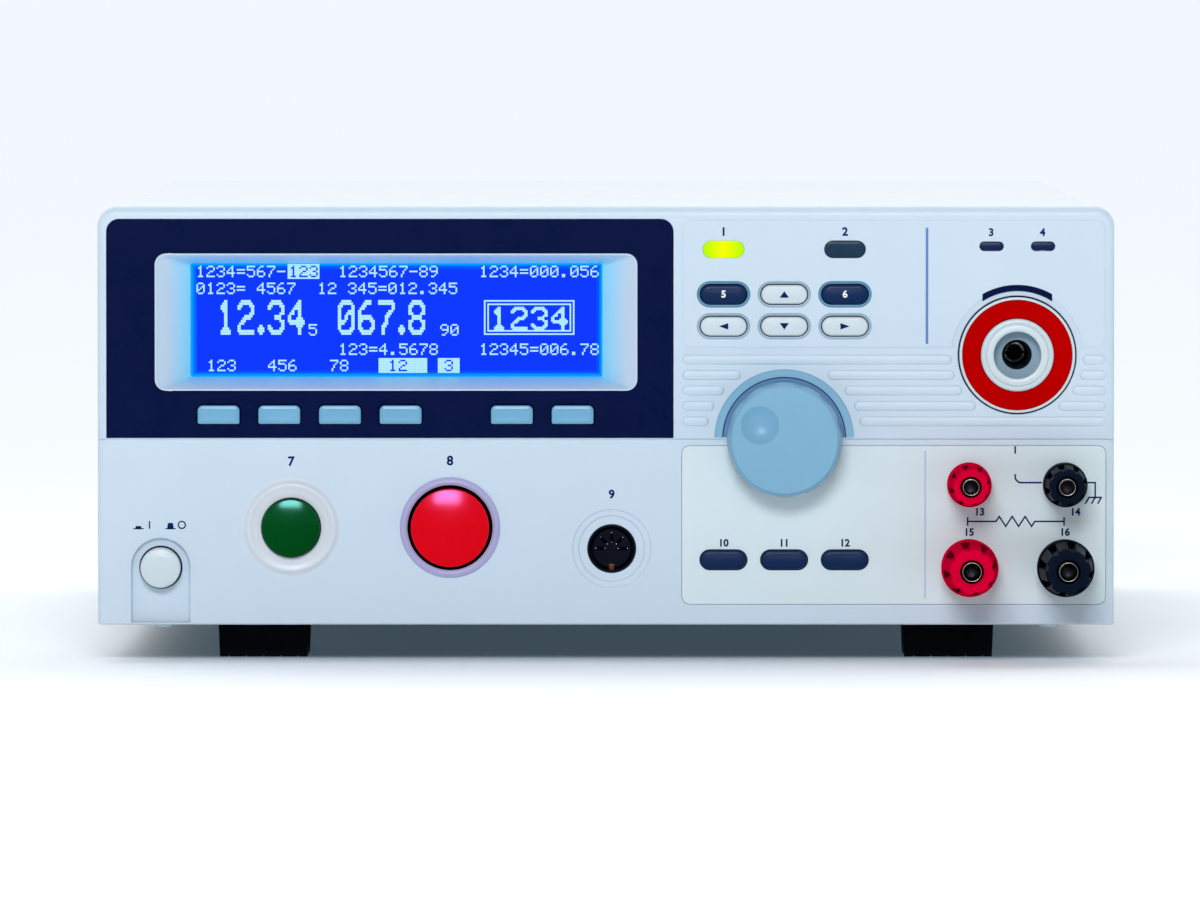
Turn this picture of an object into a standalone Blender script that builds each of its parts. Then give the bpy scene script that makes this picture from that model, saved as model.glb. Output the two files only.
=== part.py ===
"""Benchtop hipot tester with a ground-bond section, built piece by piece as the real one comes apart.

Frame: the origin lies on the table under the middle of the object, +X is to the user's right, -Y faces
the user and +Z is up. Every length is in metres, written as millimetres times MM.
"""

import math

import bmesh
import bpy
from mathutils import Matrix

MM = 0.001
GAP = 0.3 * MM

# Clearances and stock
HOLE_CLEARANCE = 0.3 * MM
SHEET = 1.5 * MM
COVER_SHEET = 1.2 * MM
BOARD_THICKNESS = 1.6 * MM

# Front frame, seen from the front, from left to right
FRAME_BORDER_LEFT = 3.0 * MM
DISPLAY_MARGIN_LEFT = 15.6 * MM
DISPLAY_SLOPE_X = 11.3 * MM
LCD_WIDTH = 134.0 * MM
DISPLAY_MARGIN_RIGHT = 11.6 * MM
FIELD_GAP = 2.9 * MM
KEY_INSET = 13.5 * MM
KEY_STEP_X = 19.7 * MM
KEYS_TO_TERMINALS = 55.9 * MM
TERMINAL_INSET = 28.8 * MM
FRAME_BORDER_RIGHT = 2.7 * MM

# Front frame, from the table up
FOOT_HEIGHT = 12.0 * MM
LOWER_FIELD_BOTTOM = 6.7 * MM
LOWER_FIELD_HEIGHT = 51.5 * MM
LOWER_FIELD_TOP = 2.2 * MM
SOFT_KEY_RISE = 7.9 * MM
DISPLAY_MARGIN_BOTTOM = 15.7 * MM
DISPLAY_SLOPE_BOTTOM = 4.2 * MM
LCD_HEIGHT = 37.0 * MM
DISPLAY_SLOPE_TOP = 3.3 * MM
DISPLAY_MARGIN_TOP = 11.1 * MM
FRAME_BORDER_TOP = 4.3 * MM

# Front frame, from front to back
FACE_STEP = 0.8 * MM
FRAME_WALL = 3.6 * MM
FRAME_DEPTH = 20.0 * MM
FRAME_SIDE_WALL = 2.5 * MM
FRAME_CORNER = 6.5 * MM
FRAME_TOP_ROUND = 3.0 * MM
FRAME_SIDE_ROUND = 1.8 * MM
FRAME_FOOT_ROUND = 0.8 * MM
DISPLAY_RECESS = 1.3 * MM
DISPLAY_PANEL_THICKNESS = 1.0 * MM
DISPLAY_CORNER = 4.0 * MM
WINDOW_CORNER = 3.6 * MM
WINDOW_DEPTH = 9.0 * MM
LCD_CORNER = 0.8 * MM
LCD_THICKNESS = 8.0 * MM
LCD_RIM = 6.0 * MM
OVERLAY_THICKNESS = 0.5 * MM
OVERLAY_CORNER = 2.6 * MM
LEGEND_RECESS = 0.3 * MM
LEGEND_CORNER = 3.2 * MM

# Moulded ribs beside the dial
RIB_COUNT = 5
RIB_STEP = 5.02 * MM
RIB_HEIGHT = 3.2 * MM
RIB_PROUD = 0.4 * MM
RIB_RISE = 5.7 * MM
RIB_TO_LEGEND = 3.7 * MM
RIB_END_CLEARANCE = 2.6 * MM

# Keys
KEY_WIDTH = 15.0 * MM
KEY_HEIGHT = 6.3 * MM
KEY_PROUD = 1.3 * MM
KEY_ROUND = 0.5 * MM
KEY_FLANGE = 1.0 * MM
KEY_FLANGE_THICKNESS = 1.2 * MM
KEY_TRAVEL = 1.0 * MM
KEY_DISH = 1.1 * MM
KEY_DISH_DEPTH = 0.5 * MM
KEY_ROW_RISE = 7.15 * MM
KEY_STEP_Z = 10.35 * MM
LOWER_KEY_RISE = 14.4 * MM
SOFT_KEY_WIDTH = 13.6 * MM
SOFT_KEY_HEIGHT = 6.0 * MM
SOFT_KEY_CORNER = 1.4 * MM
SOFT_KEY_INSET = 9.4 * MM
SOFT_GROUP_STEP = 36.1 * MM
BOARD_CLEARANCE = 1.0 * MM
BOSS_RADIUS = 3.0 * MM
BOSS_MARGIN = 1.0 * MM

# Lamps
RESULT_LAMP_WIDTH = 13.2 * MM
RESULT_LAMP_HEIGHT = 5.4 * MM
RESULT_LAMP_RISE = 14.6 * MM
STATUS_LAMP_WIDTH = 7.6 * MM
STATUS_LAMP_HEIGHT = 2.8 * MM
STATUS_LAMP_STEP = 16.7 * MM
STATUS_LAMP_LIFT = 1.0 * MM
LAMP_PROUD = 0.4 * MM

# Dial
DIAL_RADIUS = 18.6 * MM
DIAL_FACE_RADIUS = 16.9 * MM
DIAL_REACH = 17.0 * MM
DIAL_LIFT = 0.5 * MM
DIAL_WALL = 2.0 * MM
DIAL_DIMPLE_RADIUS = 6.2 * MM
DIAL_DIMPLE_OFFSET = 9.4 * MM
DIAL_DIMPLE_DEPTH = 2.0 * MM
DIAL_DIMPLE_ANGLE = math.radians(149)
DIAL_SHAFT_RADIUS = 3.0 * MM
DIAL_WELL_GAP = 1.3 * MM
DIAL_WELL_SLOPE = 2.8 * MM
DIAL_WELL_DEPTH = 0.8 * MM
DIAL_WELL_SILL = 0.5 * MM
BUSHING_WALL = 1.2 * MM
BUSHING_REACH = 5.0 * MM
ENCODER_SIZE = 13.0 * MM
ENCODER_DEPTH = 7.0 * MM

# High-voltage terminal
HV_RISE = 27.3 * MM
HV_FLANGE_RADIUS = 18.8 * MM
HV_FLANGE_SEAT = 1.3 * MM
HV_COLLAR_WIDTH = 2.3 * MM
HV_FLANGE_PROUD = 1.6 * MM
HV_BODY_RADIUS = 15.5 * MM
HV_BODY_DEPTH = 62.0 * MM
HV_RING_OUTER = 17.9 * MM
HV_RING_INNER = 12.0 * MM
HV_RING_THICKNESS = 0.8 * MM
HV_NOSE_RADIUS = 11.6 * MM
HV_NOSE_PROUD = 3.6 * MM
HV_MOUTH_RADIUS = 7.7 * MM
HV_MOUTH_DEPTH = 7.0 * MM
HV_BORE_RADIUS = 4.8 * MM
HV_BORE_DEPTH = 46.0 * MM
HV_CONTACT_RADIUS = 3.6 * MM
HV_CONTACT_BORE = 2.1 * MM
HV_CONTACT_SETBACK = 30.0 * MM
HV_CONTACT_SOCKET = 9.0 * MM
HV_CONTACT_SLOT = 7.0 * MM
HV_CONTACT_SLIT = 0.6 * MM
HV_TAIL_REACH = 4.0 * MM
HV_TAIL_RADIUS = 1.6 * MM

# Start and stop push switches
SWITCH_RISE = 31.6 * MM
START_INSET = 62.8 * MM
STOP_STEP = 51.6 * MM
START_RADIUS = 9.4 * MM
START_BARREL_WALL = 2.0 * MM
START_RING_RADIUS = 14.6 * MM
START_GUIDE_GAP = 0.3 * MM
STOP_RADIUS = 12.7 * MM
STOP_BARREL_WALL = 1.2 * MM
STOP_RING_RADIUS = 16.3 * MM
STOP_GUIDE_GAP = 1.1 * MM
SWITCH_RING_PROUD = 1.4 * MM
SWITCH_DOME = 1.6 * MM
SWITCH_BUTTON_PROUD = 3.2 * MM
SWITCH_TRAVEL = 3.0 * MM
SWITCH_DEPTH = 22.0 * MM
SWITCH_FLOOR = 3.0 * MM

# Power button
POWER_INSET = 20.4 * MM
POWER_RISE = 18.6 * MM
POWER_RADIUS = 6.5 * MM
POWER_HOLE_GAP = 0.5 * MM
POWER_NICHE_MARGIN = 2.5 * MM
POWER_NICHE_DEPTH = 2.2 * MM
POWER_PROUD = 6.5 * MM
POWER_TRAVEL = 4.0 * MM
POWER_FLANGE = 1.8 * MM
POWER_ROD_RADIUS = 3.0 * MM
POWER_ROD_LENGTH = 24.0 * MM

# Remote socket
REMOTE_STEP = 52.5 * MM
REMOTE_RISE = 24.7 * MM
REMOTE_RADIUS = 7.7 * MM
REMOTE_GROOVE_WIDTH = 0.9 * MM
REMOTE_SHELL = 0.7 * MM
REMOTE_GROOVE_DEPTH = 6.0 * MM
REMOTE_FLANGE = 2.5 * MM
REMOTE_BODY_DEPTH = 12.0 * MM
REMOTE_DISH_RADIUS = 12.4 * MM
REMOTE_DISH_SLOPE = 2.5 * MM
REMOTE_DISH_DEPTH = 1.0 * MM

# Binding posts
POST_STEP_X = 31.1 * MM
POST_RISE = 12.1 * MM
POST_STEP_Z = 26.8 * MM
SOURCE_BASE_RADIUS = 9.3 * MM
SOURCE_CAP_RADIUS = 9.0 * MM
SOURCE_NOSE_RADIUS = 7.7 * MM
SOURCE_REACH = 38.0 * MM
SOURCE_BASE_HEIGHT = 9.0 * MM
SOURCE_STUD_RADIUS = 3.0 * MM
SENSE_BASE_RADIUS = 7.4 * MM
SENSE_CAP_RADIUS = 7.0 * MM
SENSE_NOSE_RADIUS = 6.2 * MM
SENSE_REACH = 25.0 * MM
SENSE_BASE_HEIGHT = 5.0 * MM
SENSE_STUD_RADIUS = 2.7 * MM
POST_BANANA_RADIUS = 2.0 * MM
POST_BANANA_DEPTH = 14.0 * MM
POST_STUD_PROUD = 1.0 * MM
POST_CAP_SKIRT = 2.6 * MM
POST_FLUTES = 8
POST_FLUTE_DEPTH = 1.1 * MM
POST_MOUTH_CHAMFER = 1.1 * MM
POST_CAP_TRAVEL = 5.0 * MM
POST_NECK_RADIUS = 4.0 * MM
POST_NUT_RADIUS = 6.5 * MM
POST_NUT_THICKNESS = 4.0 * MM

# Case
CASE_LENGTH = 512.0 * MM
COVER_INSET = 4.5 * MM
COVER_DROP = 0.6 * MM
COVER_BEND = 3.0 * MM
TRAY_LIP = 22.0 * MM
VENT_COUNT = 12
VENT_WIDTH = 4.0 * MM
VENT_HEIGHT = 56.0 * MM
VENT_STEP_Y = 11.0 * MM
VENT_RISE = 78.0 * MM
VENT_SETBACK = 180.0 * MM
PANEL_RETURN = 12.0 * MM

# Feet and tilt legs
FOOT_WIDTH = 29.8 * MM
FOOT_TAPER = 0.6 * MM
FOOT_LENGTH = 42.0 * MM
FOOT_SPREAD = 224.0 * MM
FOOT_SETBACK = 32.0 * MM
FOOT_WALL = 2.2 * MM
FOOT_RAIL = 3.6 * MM
FOOT_TREADS = 5
FOOT_TREAD_DEPTH = 0.5 * MM
LEG_THICKNESS = 4.0 * MM
LEG_HINGE_RADIUS = 2.4 * MM
LEG_PIN_RADIUS = 1.2 * MM
LEG_SOLE_CLEARANCE = 0.8 * MM

# Rear panel
FAN_SIZE = 80.0 * MM
FAN_DEPTH = 25.0 * MM
FAN_CORNER = 4.0 * MM
FAN_DUCT_RADIUS = 38.0 * MM
FAN_HUB_RADIUS = 17.0 * MM
FAN_TIP_GAP = 1.0 * MM
FAN_BLADES = 7
FAN_INSET = 66.0 * MM
FAN_RISE = 62.0 * MM
FAN_STRUT = 4.0 * MM
FAN_STRUT_DEPTH = 3.0 * MM
GUARD_WIRE_RADIUS = 1.1 * MM
GUARD_RINGS = 3
GUARD_RING_STEP = 11.5 * MM
GUARD_REACH = 35.7 * MM
INLET_WIDTH = 27.0 * MM
INLET_HEIGHT = 20.0 * MM
INLET_FLANGE = 6.0 * MM
INLET_DEPTH = 24.0 * MM
INLET_CAVITY_DEPTH = 16.0 * MM
INLET_CAVITY_MARGIN = 2.0 * MM
INLET_INSET = 62.0 * MM
INLET_RISE = 42.0 * MM
INLET_FLANGE_THICKNESS = 3.0 * MM
PIN_WIDTH = 2.0 * MM
PIN_HEIGHT = 4.0 * MM
PIN_STEP = 14.0 * MM
PIN_RISE = 4.0 * MM
PORT_SPAN = 104.0 * MM
PORT_BOARD_RISE = 30.0 * MM
PORT_BOARD_DEPTH = 40.0 * MM
SIGNAL_PORT_WIDTH = 16.9 * MM
SIGNAL_PORT_HEIGHT = 8.4 * MM
PORT_PROUD = 5.5 * MM
PORT_LIFT = 1.0 * MM
PORT_STEP = 32.9 * MM
PORT_MARGIN = 10.0 * MM
PORT_BODY_DEPTH = 8.0 * MM
USB_WIDTH = 12.0 * MM
USB_HEIGHT = 11.0 * MM
USB_PROUD = 1.2 * MM
USB_MOUTH = 6.0 * MM
STANDOFF_RADIUS = 3.5 * MM
BLANK_WIDTH = 76.0 * MM
BLANK_HEIGHT = 22.0 * MM
BLANK_PROUD = 1.2 * MM
BLANK_RISE = 100.0 * MM
BLANK_INSET = 118.0 * MM
EARTH_RADIUS = 6.5 * MM
EARTH_REACH = 14.0 * MM
EARTH_STUD_RADIUS = 2.5 * MM
EARTH_INSET = 24.0 * MM
EARTH_RISE = 34.0 * MM

# Inside the case
TRANSFORMER_WIDTH = 118.0 * MM
TRANSFORMER_LENGTH = 104.0 * MM
TRANSFORMER_HEIGHT = 96.0 * MM
TRANSFORMER_WINDING = 16.0 * MM
TRANSFORMER_INSET = 74.0 * MM
TRANSFORMER_SETBACK = 250.0 * MM
HV_TRANSFORMER_RADIUS = 50.0 * MM
HV_TRANSFORMER_HEIGHT = 84.0 * MM
HV_TRANSFORMER_HOLE = 14.0 * MM
HV_TRANSFORMER_INSET = 72.0 * MM
HV_TRANSFORMER_SETBACK = 118.0 * MM
SINK_LENGTH = 170.0 * MM
SINK_WIDTH = 76.0 * MM
SINK_BASE = 8.0 * MM
SINK_FINS = 10
SINK_FIN_THICKNESS = 2.2 * MM
SINK_HEIGHT = 52.0 * MM
SINK_SETBACK = 230.0 * MM
SINK_INSET = 76.0 * MM
CONTROL_BOARD_WIDTH = 118.0 * MM
CONTROL_BOARD_LENGTH = 130.0 * MM
CONTROL_BOARD_RISE = 12.0 * MM
CONTROL_BOARD_INSET = 76.0 * MM
CONTROL_BOARD_SETBACK = 58.0 * MM
STANDOFF_INSET = 6.0 * MM
RELAY_COUNT = 4
RELAY_STEP = 24.0 * MM
RELAY_INSET = 14.0 * MM
RELAY_SETBACK = 30.0 * MM
RELAY_WIDTH = 15.0 * MM
RELAY_LENGTH = 29.0 * MM
RELAY_HEIGHT = 22.0 * MM
CONVERTER_MARGIN = 20.0 * MM
CONVERTER_SETBACK = 72.0 * MM
CONVERTER_LENGTH = 42.0 * MM
CONVERTER_HEIGHT = 14.0 * MM

# How finely round shapes are drawn
SEGMENTS_SMALL = 10
SEGMENTS_POST = 14
SEGMENTS_MEDIUM = 20
SEGMENTS_LARGE = 24

# Places worked out from the sizes above
DISPLAY_FRAME_WIDTH = LCD_WIDTH + 2 * DISPLAY_SLOPE_X
DISPLAY_WIDTH = DISPLAY_MARGIN_LEFT + DISPLAY_FRAME_WIDTH + DISPLAY_MARGIN_RIGHT
FIELD_WIDTH = KEY_INSET + 2 * KEY_STEP_X + KEYS_TO_TERMINALS + TERMINAL_INSET
CASE_WIDTH = FRAME_BORDER_LEFT + DISPLAY_WIDTH + FIELD_GAP + FIELD_WIDTH + FRAME_BORDER_RIGHT
LEFT = -CASE_WIDTH / 2
RIGHT = CASE_WIDTH / 2
DISPLAY_LEFT = LEFT + FRAME_BORDER_LEFT
DISPLAY_RIGHT = DISPLAY_LEFT + DISPLAY_WIDTH
WINDOW_LEFT = DISPLAY_LEFT + DISPLAY_MARGIN_LEFT
WINDOW_RIGHT = WINDOW_LEFT + DISPLAY_FRAME_WIDTH
LCD_LEFT = WINDOW_LEFT + DISPLAY_SLOPE_X
LCD_RIGHT = LCD_LEFT + LCD_WIDTH
FIELD_LEFT = DISPLAY_RIGHT + FIELD_GAP
FIELD_RIGHT = FIELD_LEFT + FIELD_WIDTH
KEY_COLUMNS = [FIELD_LEFT + KEY_INSET + i * KEY_STEP_X for i in range(3)]
TERMINAL_X = FIELD_RIGHT - TERMINAL_INSET
POST_COLUMNS = {"h": TERMINAL_X - POST_STEP_X / 2, "l": TERMINAL_X + POST_STEP_X / 2}

FRAME_BOTTOM = FOOT_HEIGHT
FIELD_BOTTOM = FRAME_BOTTOM + LOWER_FIELD_BOTTOM
FIELD_TOP = FIELD_BOTTOM + LOWER_FIELD_HEIGHT
SEAM = FIELD_TOP + LOWER_FIELD_TOP
WINDOW_BOTTOM = SEAM + DISPLAY_MARGIN_BOTTOM
LCD_BOTTOM = WINDOW_BOTTOM + DISPLAY_SLOPE_BOTTOM
LCD_TOP = LCD_BOTTOM + LCD_HEIGHT
WINDOW_TOP = LCD_TOP + DISPLAY_SLOPE_TOP
DISPLAY_TOP = WINDOW_TOP + DISPLAY_MARGIN_TOP
FRAME_TOP = DISPLAY_TOP + FRAME_BORDER_TOP
SOFT_KEY_Z = SEAM + SOFT_KEY_RISE
LEGEND_BOTTOM = SEAM + RIB_RISE + (RIB_COUNT - 1) * RIB_STEP + RIB_TO_LEGEND
KEY_ROWS = [LEGEND_BOTTOM + KEY_ROW_RISE + i * KEY_STEP_Z for i in range(2)]
LAMP_Z = KEY_ROWS[1] + RESULT_LAMP_RISE
LOWER_KEY_Z = FIELD_BOTTOM + LOWER_KEY_RISE
HV_Z = SEAM + HV_RISE
POST_ROWS = {"source": FIELD_BOTTOM + POST_RISE, "sense": FIELD_BOTTOM + POST_RISE + POST_STEP_Z}
SWITCH_Z = FRAME_BOTTOM + SWITCH_RISE
START_X = LEFT + START_INSET
STOP_X = START_X + STOP_STEP
REMOTE_X = STOP_X + REMOTE_STEP
REMOTE_Z = FRAME_BOTTOM + REMOTE_RISE
POWER_X = LEFT + POWER_INSET
POWER_Z = FRAME_BOTTOM + POWER_RISE
DIAL_X = KEY_COLUMNS[1]
DIAL_Z = SEAM

BODY_DEPTH = FRAME_DEPTH + CASE_LENGTH
OVERALL_DEPTH = SOURCE_REACH + POST_STUD_PROUD + BODY_DEPTH + EARTH_REACH
FRONT_Y = -OVERALL_DEPTH / 2 + SOURCE_REACH + POST_STUD_PROUD
UPPER_Y = FRONT_Y - FACE_STEP
WALL_BACK_Y = FRONT_Y + FRAME_WALL
FRAME_BACK_Y = FRONT_Y + FRAME_DEPTH
REAR_Y = FRONT_Y + BODY_DEPTH
UPPER_WALL = FACE_STEP + FRAME_WALL

COVER_HALF_WIDTH = CASE_WIDTH / 2 - COVER_INSET
COVER_TOP = FRAME_TOP - COVER_DROP
TRAY_HALF_WIDTH = COVER_HALF_WIDTH - COVER_SHEET - GAP
TRAY_BOTTOM = FRAME_BOTTOM + FRAME_SIDE_WALL + GAP
TRAY_FLOOR = TRAY_BOTTOM + SHEET
BOARD_Y = WALL_BACK_Y + GAP + KEY_FLANGE_THICKNESS + KEY_TRAVEL + BOARD_CLEARANCE

FACING_FRONT = (math.radians(90), 0, 0)
FACING_BACK = (math.radians(90), 0, math.radians(180))
FACING_UP = (0, 0, 0)
FACING_RIGHT = (math.radians(90), 0, math.radians(90))

COLOURS = {
    "frame_plastic": ((0.72, 0.79, 0.86), 0.45, 0.0),
    "painted_steel": ((0.82, 0.86, 0.90), 0.5, 0.0),
    "navy_plastic": ((0.01, 0.02, 0.09), 0.35, 0.0),
    "screen_blue": ((0.02, 0.06, 0.85), 0.3, 0.0),
    "label_film": ((0.75, 0.84, 0.88), 0.4, 0.0),
    "white_plastic": ((0.86, 0.87, 0.88), 0.35, 0.0),
    "pale_blue_plastic": ((0.42, 0.62, 0.76), 0.45, 0.0),
    "red_plastic": ((0.72, 0.01, 0.02), 0.3, 0.0),
    "green_plastic": ((0.01, 0.14, 0.05), 0.25, 0.0),
    "black_plastic": ((0.01, 0.012, 0.018), 0.4, 0.0),
    "lamp_green": ((0.6, 1.0, 0.02), 0.3, 0.0),
    "lamp_dark": ((0.03, 0.07, 0.11), 0.3, 0.0),
    "plated_brass": ((0.55, 0.5, 0.42), 0.25, 1.0),
    "zinc_steel": ((0.6, 0.62, 0.64), 0.4, 1.0),
    "circuit_board": ((0.02, 0.2, 0.09), 0.5, 0.0),
    "aluminium": ((0.7, 0.7, 0.72), 0.4, 1.0),
    "transformer_steel": ((0.18, 0.17, 0.16), 0.6, 1.0),
    "potting": ((0.03, 0.03, 0.035), 0.5, 0.0),
}


# Building tools


def clear_scene():
    for item in list(bpy.data.objects):
        bpy.data.objects.remove(item)


def collection(name):
    made = bpy.data.collections.new(name)
    bpy.context.scene.collection.children.link(made)
    return made


def material(name):
    found = bpy.data.materials.get(name)
    if found:
        return found
    colour, roughness, metallic = COLOURS[name]
    made = bpy.data.materials.new(name)
    made.use_nodes = True
    shader = made.node_tree.nodes["Principled BSDF"]
    shader.inputs["Base Color"].default_value = (*colour, 1)
    shader.inputs["Roughness"].default_value = roughness
    shader.inputs["Metallic"].default_value = metallic
    return made


def placed(name, mesh, place, facing, look=None):
    """An object of this mesh. With a look it is a piece of the tester, and without one a cutter."""
    item = bpy.data.objects.new(name, mesh)
    item.location = place
    item.rotation_euler = facing
    if look:
        mesh.materials.append(material(look))
        PIECES.objects.link(item)
    else:
        CUTTERS.objects.link(item)
        hide_helper(item)
    return item


def hide_helper(item):
    item.hide_render = True
    item.display_type = "WIRE"


def mesh_of(bm, name):
    bmesh.ops.recalc_face_normals(bm, faces=bm.faces)
    mesh = bpy.data.meshes.new(name)
    bm.to_mesh(mesh)
    bm.free()
    mesh.shade_smooth()
    mesh.set_sharp_from_angle(angle=math.radians(35))
    return mesh


def prism_bm(outlines, low, high):
    """A flat outline, and any holes in it, drawn as a filled 2D curve and extruded from low to high."""
    curve = bpy.data.curves.new("outline", "CURVE")
    curve.dimensions = "2D"
    curve.fill_mode = "BOTH"
    curve.extrude = (high - low) / 2
    for outline in outlines:
        spline = curve.splines.new("POLY")
        spline.points.add(len(outline) - 1)
        spline.use_cyclic_u = True
        for point, (u, v) in zip(spline.points, outline):
            point.co = (u, v, 0, 1)
    drawn = bpy.data.objects.new("outline", curve)
    mesh = bpy.data.meshes.new_from_object(drawn)
    bpy.data.objects.remove(drawn)
    bm = bmesh.new()
    bm.from_mesh(mesh)
    bpy.data.meshes.remove(mesh)
    bmesh.ops.remove_doubles(bm, verts=bm.verts, dist=0.001 * MM)
    bmesh.ops.translate(bm, verts=bm.verts, vec=(0, 0, (low + high) / 2))
    return bm


def round_front_rim(bm, height, radius, segments):
    """Rounds the edges that lie in the plane at this height."""
    rim = [e for e in bm.edges if all(abs(v.co.z - height) < 1e-6 for v in e.verts) and not flat_edge(e)]
    bmesh.ops.bevel(
        bm, geom=rim, offset=radius, segments=segments, profile=0.5, affect="EDGES", clamp_overlap=True
    )


def flat_edge(edge):
    return len(edge.link_faces) == 2 and edge.calc_face_angle(0) < math.radians(1)


def prism(name, outlines, low, high, place=(0, 0, 0), facing=FACING_FRONT, look=None, rim=0, rim_segments=2):
    bm = prism_bm(outlines, low, high)
    if rim:
        round_front_rim(bm, high, rim, rim_segments)
    return placed(name, mesh_of(bm, name), place, facing, look)


def box(name, corner, opposite, look=None):
    """A box between two corners in the part's own frame."""
    bm = bmesh.new()
    bmesh.ops.create_cube(bm, size=1)
    size = [b - a for a, b in zip(corner, opposite)]
    bmesh.ops.scale(bm, verts=bm.verts, vec=size)
    middle = [(a + b) / 2 for a, b in zip(corner, opposite)]
    return placed(name, mesh_of(bm, name), middle, FACING_UP, look)


def drum(name, radius, low, high, place, facing=FACING_FRONT, look=None, far_radius=None, segments=None):
    """A cylinder, or a cone when far_radius is given, from low (radius) to high (far_radius)."""
    far = radius if far_radius is None else far_radius
    bm = bmesh.new()
    bmesh.ops.create_cone(
        bm,
        cap_ends=True,
        segments=segments or SEGMENTS_MEDIUM,
        radius1=radius,
        radius2=far,
        depth=high - low,
    )
    bmesh.ops.translate(bm, verts=bm.verts, vec=(0, 0, (low + high) / 2))
    return placed(name, mesh_of(bm, name), place, facing, look)


def turned(name, profile, place, facing=FACING_FRONT, look=None, segments=None, closed=False):
    """A lathe shape. The profile is (radius, height) points that run down the outer side, front to back."""
    mesh = bpy.data.meshes.new(name)
    points = [(r, 0, h) for r, h in profile]
    edges = [(i, i + 1) for i in range(len(points) - 1)]
    if closed:
        edges.append((len(points) - 1, 0))
    mesh.from_pydata(points, edges, [])
    item = placed(name, mesh, place, facing, look)
    screw = item.modifiers.new("Lathe", "SCREW")
    screw.axis = "Z"
    screw.steps = screw.render_steps = segments or SEGMENTS_MEDIUM
    screw.use_merge_vertices = True
    screw.merge_threshold = 0.01 * MM
    screw.use_smooth_shade = True
    return item


def combine(item, others, operation):
    """One Boolean modifier over a collection of helper objects."""
    group = bpy.data.collections.new(f"{item.name}_{operation.lower()}_{len(item.modifiers)}")
    CUTTERS.children.link(group)
    for other in others:
        for owner in list(other.users_collection):
            owner.objects.unlink(other)
        group.objects.link(other)
        hide_helper(other)
    change = item.modifiers.new(operation.title(), "BOOLEAN")
    change.operation = operation
    change.operand_type = "COLLECTION"
    change.collection = group
    change.solver = "EXACT"
    return item


def cut(item, others):
    return combine(item, others, "DIFFERENCE")


def join(item, others):
    return combine(item, others, "UNION")


def cross(item, other):
    return combine(item, [other], "INTERSECT")


def arc(cx, cy, radius, start, end, steps):
    """Points along an arc, angles in degrees."""
    angles = [math.radians(start + (end - start) * i / steps) for i in range(steps + 1)]
    return [(cx + radius * math.cos(a), cy + radius * math.sin(a)) for a in angles]


def rectangle(left, bottom, right, top, corners=0, steps=3):
    """A rectangle with round corners, the same radius all round or (bottom, top) radii."""
    low, high = corners if isinstance(corners, tuple) else (corners, corners)
    points = []
    for cx, cy, start, radius in (
        (right, bottom, 270, low),
        (right, top, 0, high),
        (left, top, 90, high),
        (left, bottom, 180, low),
    ):
        if radius == 0:
            points.append((cx, cy))
            continue
        x = cx - radius if cx == right else cx + radius
        y = cy - radius if cy == top else cy + radius
        points += arc(x, y, radius, start, start + 90, steps)
    return points


def stadium(cx, cy, width, height, steps=3):
    """A slot outline with round ends, width along X."""
    reach = (width - height) / 2
    right = arc(cx + reach, cy, height / 2, -90, 90, steps)
    left = arc(cx - reach, cy, height / 2, 90, 270, steps)
    return right + left


def circle(cx, cy, radius, segments=None):
    count = segments or SEGMENTS_MEDIUM
    return arc(cx, cy, radius, 0, 360, count)[:-1]


def front(x, z, y=None):
    """A place on the lower front face, or at another depth."""
    return (x, FRONT_Y if y is None else y, z)


def upper(x, z):
    """A place on the upper front face."""
    return (x, UPPER_Y, z)


# Front frame and what is let into it


def display_outline(grow=0):
    return rectangle(
        DISPLAY_LEFT - grow, SEAM + GAP - grow, DISPLAY_RIGHT + grow, DISPLAY_TOP + grow, (0, DISPLAY_CORNER + grow)
    )


def window_outline(grow=0):
    return rectangle(
        WINDOW_LEFT - grow, WINDOW_BOTTOM - grow, WINDOW_RIGHT + grow, WINDOW_TOP + grow, WINDOW_CORNER + grow
    )


def overlay_outline(grow=0):
    return rectangle(
        FIELD_LEFT - grow, FIELD_BOTTOM - grow, FIELD_RIGHT + grow, FIELD_TOP + grow, OVERLAY_CORNER + grow
    )


def soft_key_places():
    first = LCD_LEFT + SOFT_KEY_INSET
    left_group = [first + i * KEY_STEP_X for i in range(4)]
    right_group = [left_group[-1] + SOFT_GROUP_STEP + i * KEY_STEP_X for i in range(2)]
    return left_group + right_group


def soft_key_outline(grow=0, x=0, z=0):
    half_width = SOFT_KEY_WIDTH / 2 + grow
    half_height = SOFT_KEY_HEIGHT / 2 + grow
    return rectangle(
        x - half_width, z - half_height, x + half_width, z + half_height, SOFT_KEY_CORNER + grow, 1
    )


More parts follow.
